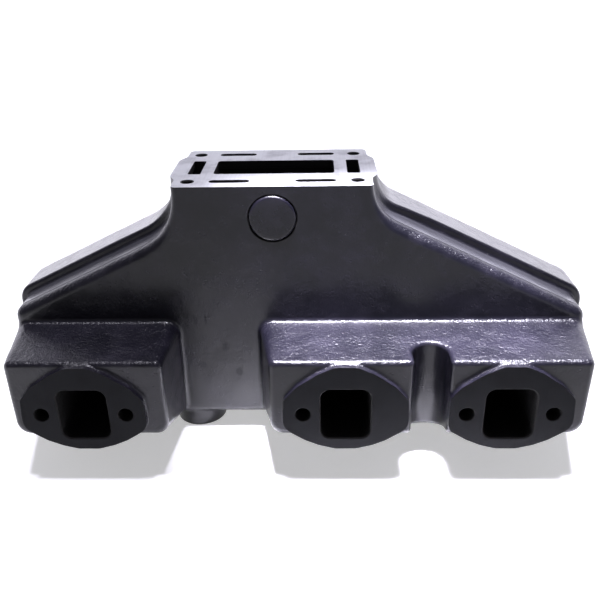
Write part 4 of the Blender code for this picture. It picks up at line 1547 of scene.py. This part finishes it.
@dataclass
class Plugs:
    """The pressed core plugs and the square-socket pipe plugs."""

    foundry: Foundry
    body: Body
    front_radius: float = 0.0165
    front_proud: float = 0.0012
    rear_radius: float = 0.019
    rear_dish: float = 0.003
    socket: float = 0.0095

    @staticmethod
    def rounded(corners: Sequence[Triple], steps: int = 6) -> list[Point]:
        """Round the corners of an open half outline, each given as radius, height and corner radius."""
        points: list[Point] = []
        for i, (r, h, bend) in enumerate(corners):
            if not bend or i in (0, len(corners) - 1):
                points.append((r, h))
                continue
            here, before, after = Vector((r, h)), Vector(corners[i - 1][:2]), Vector(corners[i + 1][:2])
            start, end = (before - here).normalized(), (after - here).normalized()
            half = start.angle(end) / 2
            reach = bend / math.tan(half)
            centre = here + (start + end).normalized() * (bend / math.sin(half))
            first, last = here + start * reach - centre, here + end * reach - centre
            swing = first.angle_signed(last)
            for k in range(steps + 1):
                turn = Matrix.Rotation(-swing * k / steps, 2)
                points.append(tuple(centre + turn @ first))
        return points

    def pressed(self, name: str, node: str, corners: Sequence[Triple],
                centre: Triple) -> None:
        """Press one core plug from a turned outline."""
        plug = turned(self.rounded(corners), Axis.Y, centre, 96)
        self.dress(plug, self.foundry.finishes.plug_paint, 40)
        hand_over(plug, name, "painted_plug", node)

    def screwed(self, name: str, node: str, axis: Axis, centre: Triple, radius: float,
                mouth: float, depth: float) -> None:
        """Turn one pipe plug and broach its square socket."""
        way = -math.copysign(1.0, mouth)
        outline = [(radius - 0.0010, mouth), (radius, mouth + way * 0.0010), (radius, mouth + way * depth)]
        plug = turned(outline, axis, centre, 64)
        half = self.socket / 2
        first, second, _ = axis.value
        middle = (centre[first], centre[second])
        low, high = sorted((mouth - way * 0.01, mouth + way * 0.6 * depth))
        machine(plug, [prism(rounded_rectangle(middle, (half, half), 0.0008, 4), axis, low, high)])
        self.dress(plug, self.foundry.finishes.brass, 30)
        hand_over(plug, name, "plug_brass", node)

    @staticmethod
    def dress(plug: bpy.types.Object, finish: bpy.types.Material, sharp: float) -> None:
        """Give a plug its finish and keep its edges sharp past an angle in degrees."""
        plug.data.materials.clear()
        plug.data.materials.append(finish)
        plug.data.shade_smooth()
        plug.data.set_sharp_from_angle(angle=math.radians(sharp))

    def build(self) -> None:
        """Make every plug."""
        casting = self.foundry.casting
        y, r = casting.panel_y, self.front_radius
        face = y - self.front_proud
        self.pressed("front_core_plug_cup", "front_core_plug",
                     [(0.0004, face - 0.0002, 0), (r - 0.0042, face, 0.02), (r, face + 0.0002, 0.0022),
                      (r, y + 0.0045, 0), (0.0004, y + 0.0045, 0)],
                     (casting.riser_x, 0.0, self.body.core_plug[1]))
        y, r = casting.rear_y, self.rear_radius
        for x, word in zip(self.body.rear_plug_x, ("left", "right")):
            self.pressed(f"rear_core_plug_cup_{word}", f"rear_core_plug_{word}",
                         [(0.0004, y - 0.006, 0), (r, y - 0.006, 0.0008), (r, y - 0.0003, 0.0005),
                          (r - 0.0016, y - 0.0003, 0.0005), (r - 0.0022, y - self.rear_dish, 0.0012),
                          (0.0004, y - self.rear_dish, 0)], (x, 0.0, 0.0))
        self.screwed("drain_pipe_plug", "drain_plug", Axis.Z, casting.drain[:2] + (0.0,),
                     self.body.drain_bore - 0.0003, casting.drain_z + 0.0003, 0.0125)
        self.screwed("end_pipe_plug", "left_end_plug", Axis.X, (0.0, casting.middle_y, 0.0),
                     self.body.end_bore - 0.0003, -casting.end_boss_x + 0.0003, 0.0102)


# ---- Studio ----

@dataclass
class Studio:
    """The pale floor, the soft lights and the camera."""

    floor_z: float = -0.0565
    camera_place: Triple = (0.0156, -0.3927, 0.2865)
    yaw: float = -1.70
    pitch: float = 26.78
    roll: float = 1.12
    lens: float = 42.0
    tint: Colour = (0.95, 0.93, 1.06)
    surround: float = 0.10
    horizon: float = 2.0
    sheet_reach: float = 7.0
    sheet_height: float = 1.1
    sheet_front: float = -0.19
    sheet_power: float = 128.0
    sheet_spread: float = 8.0
    floor_glow: float = 0.45
    floor_half: float = 40.0
    key_place: Triple = (0.085, 0.030, 0.36)
    key_target: Triple = (0.085, 0.034, 0.04)
    key_size: Point = (0.24, 0.06)
    key_power: float = 0.75
    key_spread: float = 26.0

    def camera(self) -> None:
        """Place the camera and make it the scene's own."""
        data = bpy.data.cameras.new("camera")
        data.lens, data.sensor_width = self.lens, 36.0
        data.clip_start, data.clip_end = 0.01, 50.0
        camera = bpy.data.objects.new("camera", data)
        bpy.context.scene.collection.objects.link(camera)
        yaw, pitch, roll = (math.radians(a) for a in (self.yaw, self.pitch, self.roll))
        ahead = Vector((math.sin(yaw) * math.cos(pitch), math.cos(yaw) * math.cos(pitch), -math.sin(pitch)))
        right = Vector((math.cos(yaw), -math.sin(yaw), 0.0))
        down = ahead.cross(right)
        across = math.cos(roll) * right + math.sin(roll) * down
        down = math.cos(roll) * down - math.sin(roll) * right
        turn = Matrix((across, -down, -ahead)).transposed()
        camera.matrix_world = Matrix.Translation(self.camera_place) @ turn.to_4x4()
        bpy.context.scene.camera = camera

    def floor(self) -> None:
        """Lay a wide pale floor."""
        half = self.floor_half
        mesh = bpy.data.meshes.new("floor")
        corners = [(-half, -half), (half, -half), (half, half), (-half, half)]
        mesh.from_pydata([(x, y, self.floor_z) for x, y in corners], [], [(0, 1, 2, 3)])
        s = Shading("pale_floor")
        mesh.materials.append(s.finish(Base_Color=(0.86, 0.86, 0.87), Roughness=0.9, Specular_IOR_Level=0.1,
                                       Emission_Color=(1.0, 1.0, 1.0), Emission_Strength=self.floor_glow))
        add_object("floor", mesh)

    def light(self, name: str, place: Triple, target: Triple,
              size: Point, power: float, spread: float) -> None:
        """Hang one soft rectangular light.

        Args:
            name: Its name.
            place: Where it hangs.
            target: The point that it faces.
            size: Width and height of its panel.
            power: Its power in watts.
            spread: Angle in degrees of the beam that its grid lets through.
        """
        data = bpy.data.lights.new(name, "AREA")
        data.shape = "RECTANGLE"
        data.size, data.size_y = size
        data.energy, data.color, data.spread = power, self.tint, math.radians(spread)
        light = bpy.data.objects.new(name, data)
        bpy.context.scene.collection.objects.link(light)
        way = Vector(target) - Vector(place)
        light.matrix_world = Matrix.Translation(place) @ way.to_track_quat("-Z", "Y").to_matrix().to_4x4()

    def world(self) -> None:
        """Surround the scene with dim light that is bright only behind, near the horizon."""
        world = bpy.data.worlds.new("studio")
        world.use_nodes = True
        s = Tree(world.node_tree)
        way = s.node("ShaderNodeTexCoord", output="Generated")
        height, depth = s.part(way, 2), s.part(way, 1)
        band = 1 - height.step(0.22, 0.62)
        behind = depth.step(-0.35, 0.75)
        strength = band * behind * (self.horizon - self.surround) + self.surround
        background = world.node_tree.nodes["Background"]
        background.inputs["Color"].default_value = (*self.tint, 1.0)
        s.feed(background.inputs["Strength"], strength)
        bpy.context.scene.world = world

    def build(self) -> None:
        """Set up the whole studio."""
        self.camera()
        self.floor()
        self.world()
        middle = self.sheet_reach / 2 + self.sheet_front
        self.light("sheet", (0.0, middle, self.sheet_height), (0.0, middle, 0.0),
                   (self.sheet_reach, self.sheet_reach), self.sheet_power, self.sheet_spread)
        self.light("key", self.key_place, self.key_target, self.key_size, self.key_power, self.key_spread)
        bpy.context.scene.view_settings.view_transform = "Standard"


# ---- Assembly ----

def dress_carried_nodes(nodes: dict[str, bpy.types.Object], finishes: Finishes) -> None:
    """Give the inner nodes that stay as they are their own finish."""
    for name, node in nodes.items():
        if not node.hide_render:
            for slot in node.material_slots:
                slot.material = finishes.passage
            LOG.info("%-28s keeps its mesh, finished as cored iron", name)


def main() -> None:
    """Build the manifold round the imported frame."""
    logging.basicConfig(level=logging.INFO, format="%(message)s")
    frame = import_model()
    finishes = Finishes()
    casting = Casting()
    foundry = Foundry(casting, finishes)
    deck = RiserDeck(foundry)
    body = Body(foundry, deck)
    PortPads(foundry).build()
    PortBox(foundry, "cast_single_port_box", "single_port_box", casting.single_box, (1,),
            [casting.single_box]).build()
    # a cavity keeps foundry.wall inside the walls it is given, but beside the groove the iron is thinner
    inset = casting.groove_half + (foundry.groove_wall - foundry.wall)
    left, right = casting.groove_x - inset, casting.groove_x + inset
    PortBox(foundry, "cast_twin_port_box", "twin_port_box", casting.twin_box, (2, 3),
            [(casting.twin_box[0], (left, left)), ((right, right), casting.twin_box[1])]).build()
    deck.build()
    body.build()
    Plugs(foundry, body).build()
    thread = ScrewThread(deck.stud_radius, depth=0.0185, pitch=0.00125)
    foot = casting.deck_z - thread.lead_in - thread.depth
    thread.build("riser_stud_threads", [(x, y, foot) for x, y in deck.studs()], (0.0, 0.0, 0.0),
                 finishes.passage)
    thread = ScrewThread(body.end_bore, depth=0.0125, pitch=0.0018, ridge=0.0007, steps=72)
    foot = casting.end_boss_x - thread.lead_in - thread.depth
    thread.build("end_bore_thread", [(foot, casting.middle_y, 0.0)], (0.0, math.pi / 2, 0.0),
                 finishes.passage)
    dress_carried_nodes(frame["nodes"], finishes)
    Studio().build()


if __name__ == "__main__":
    main()
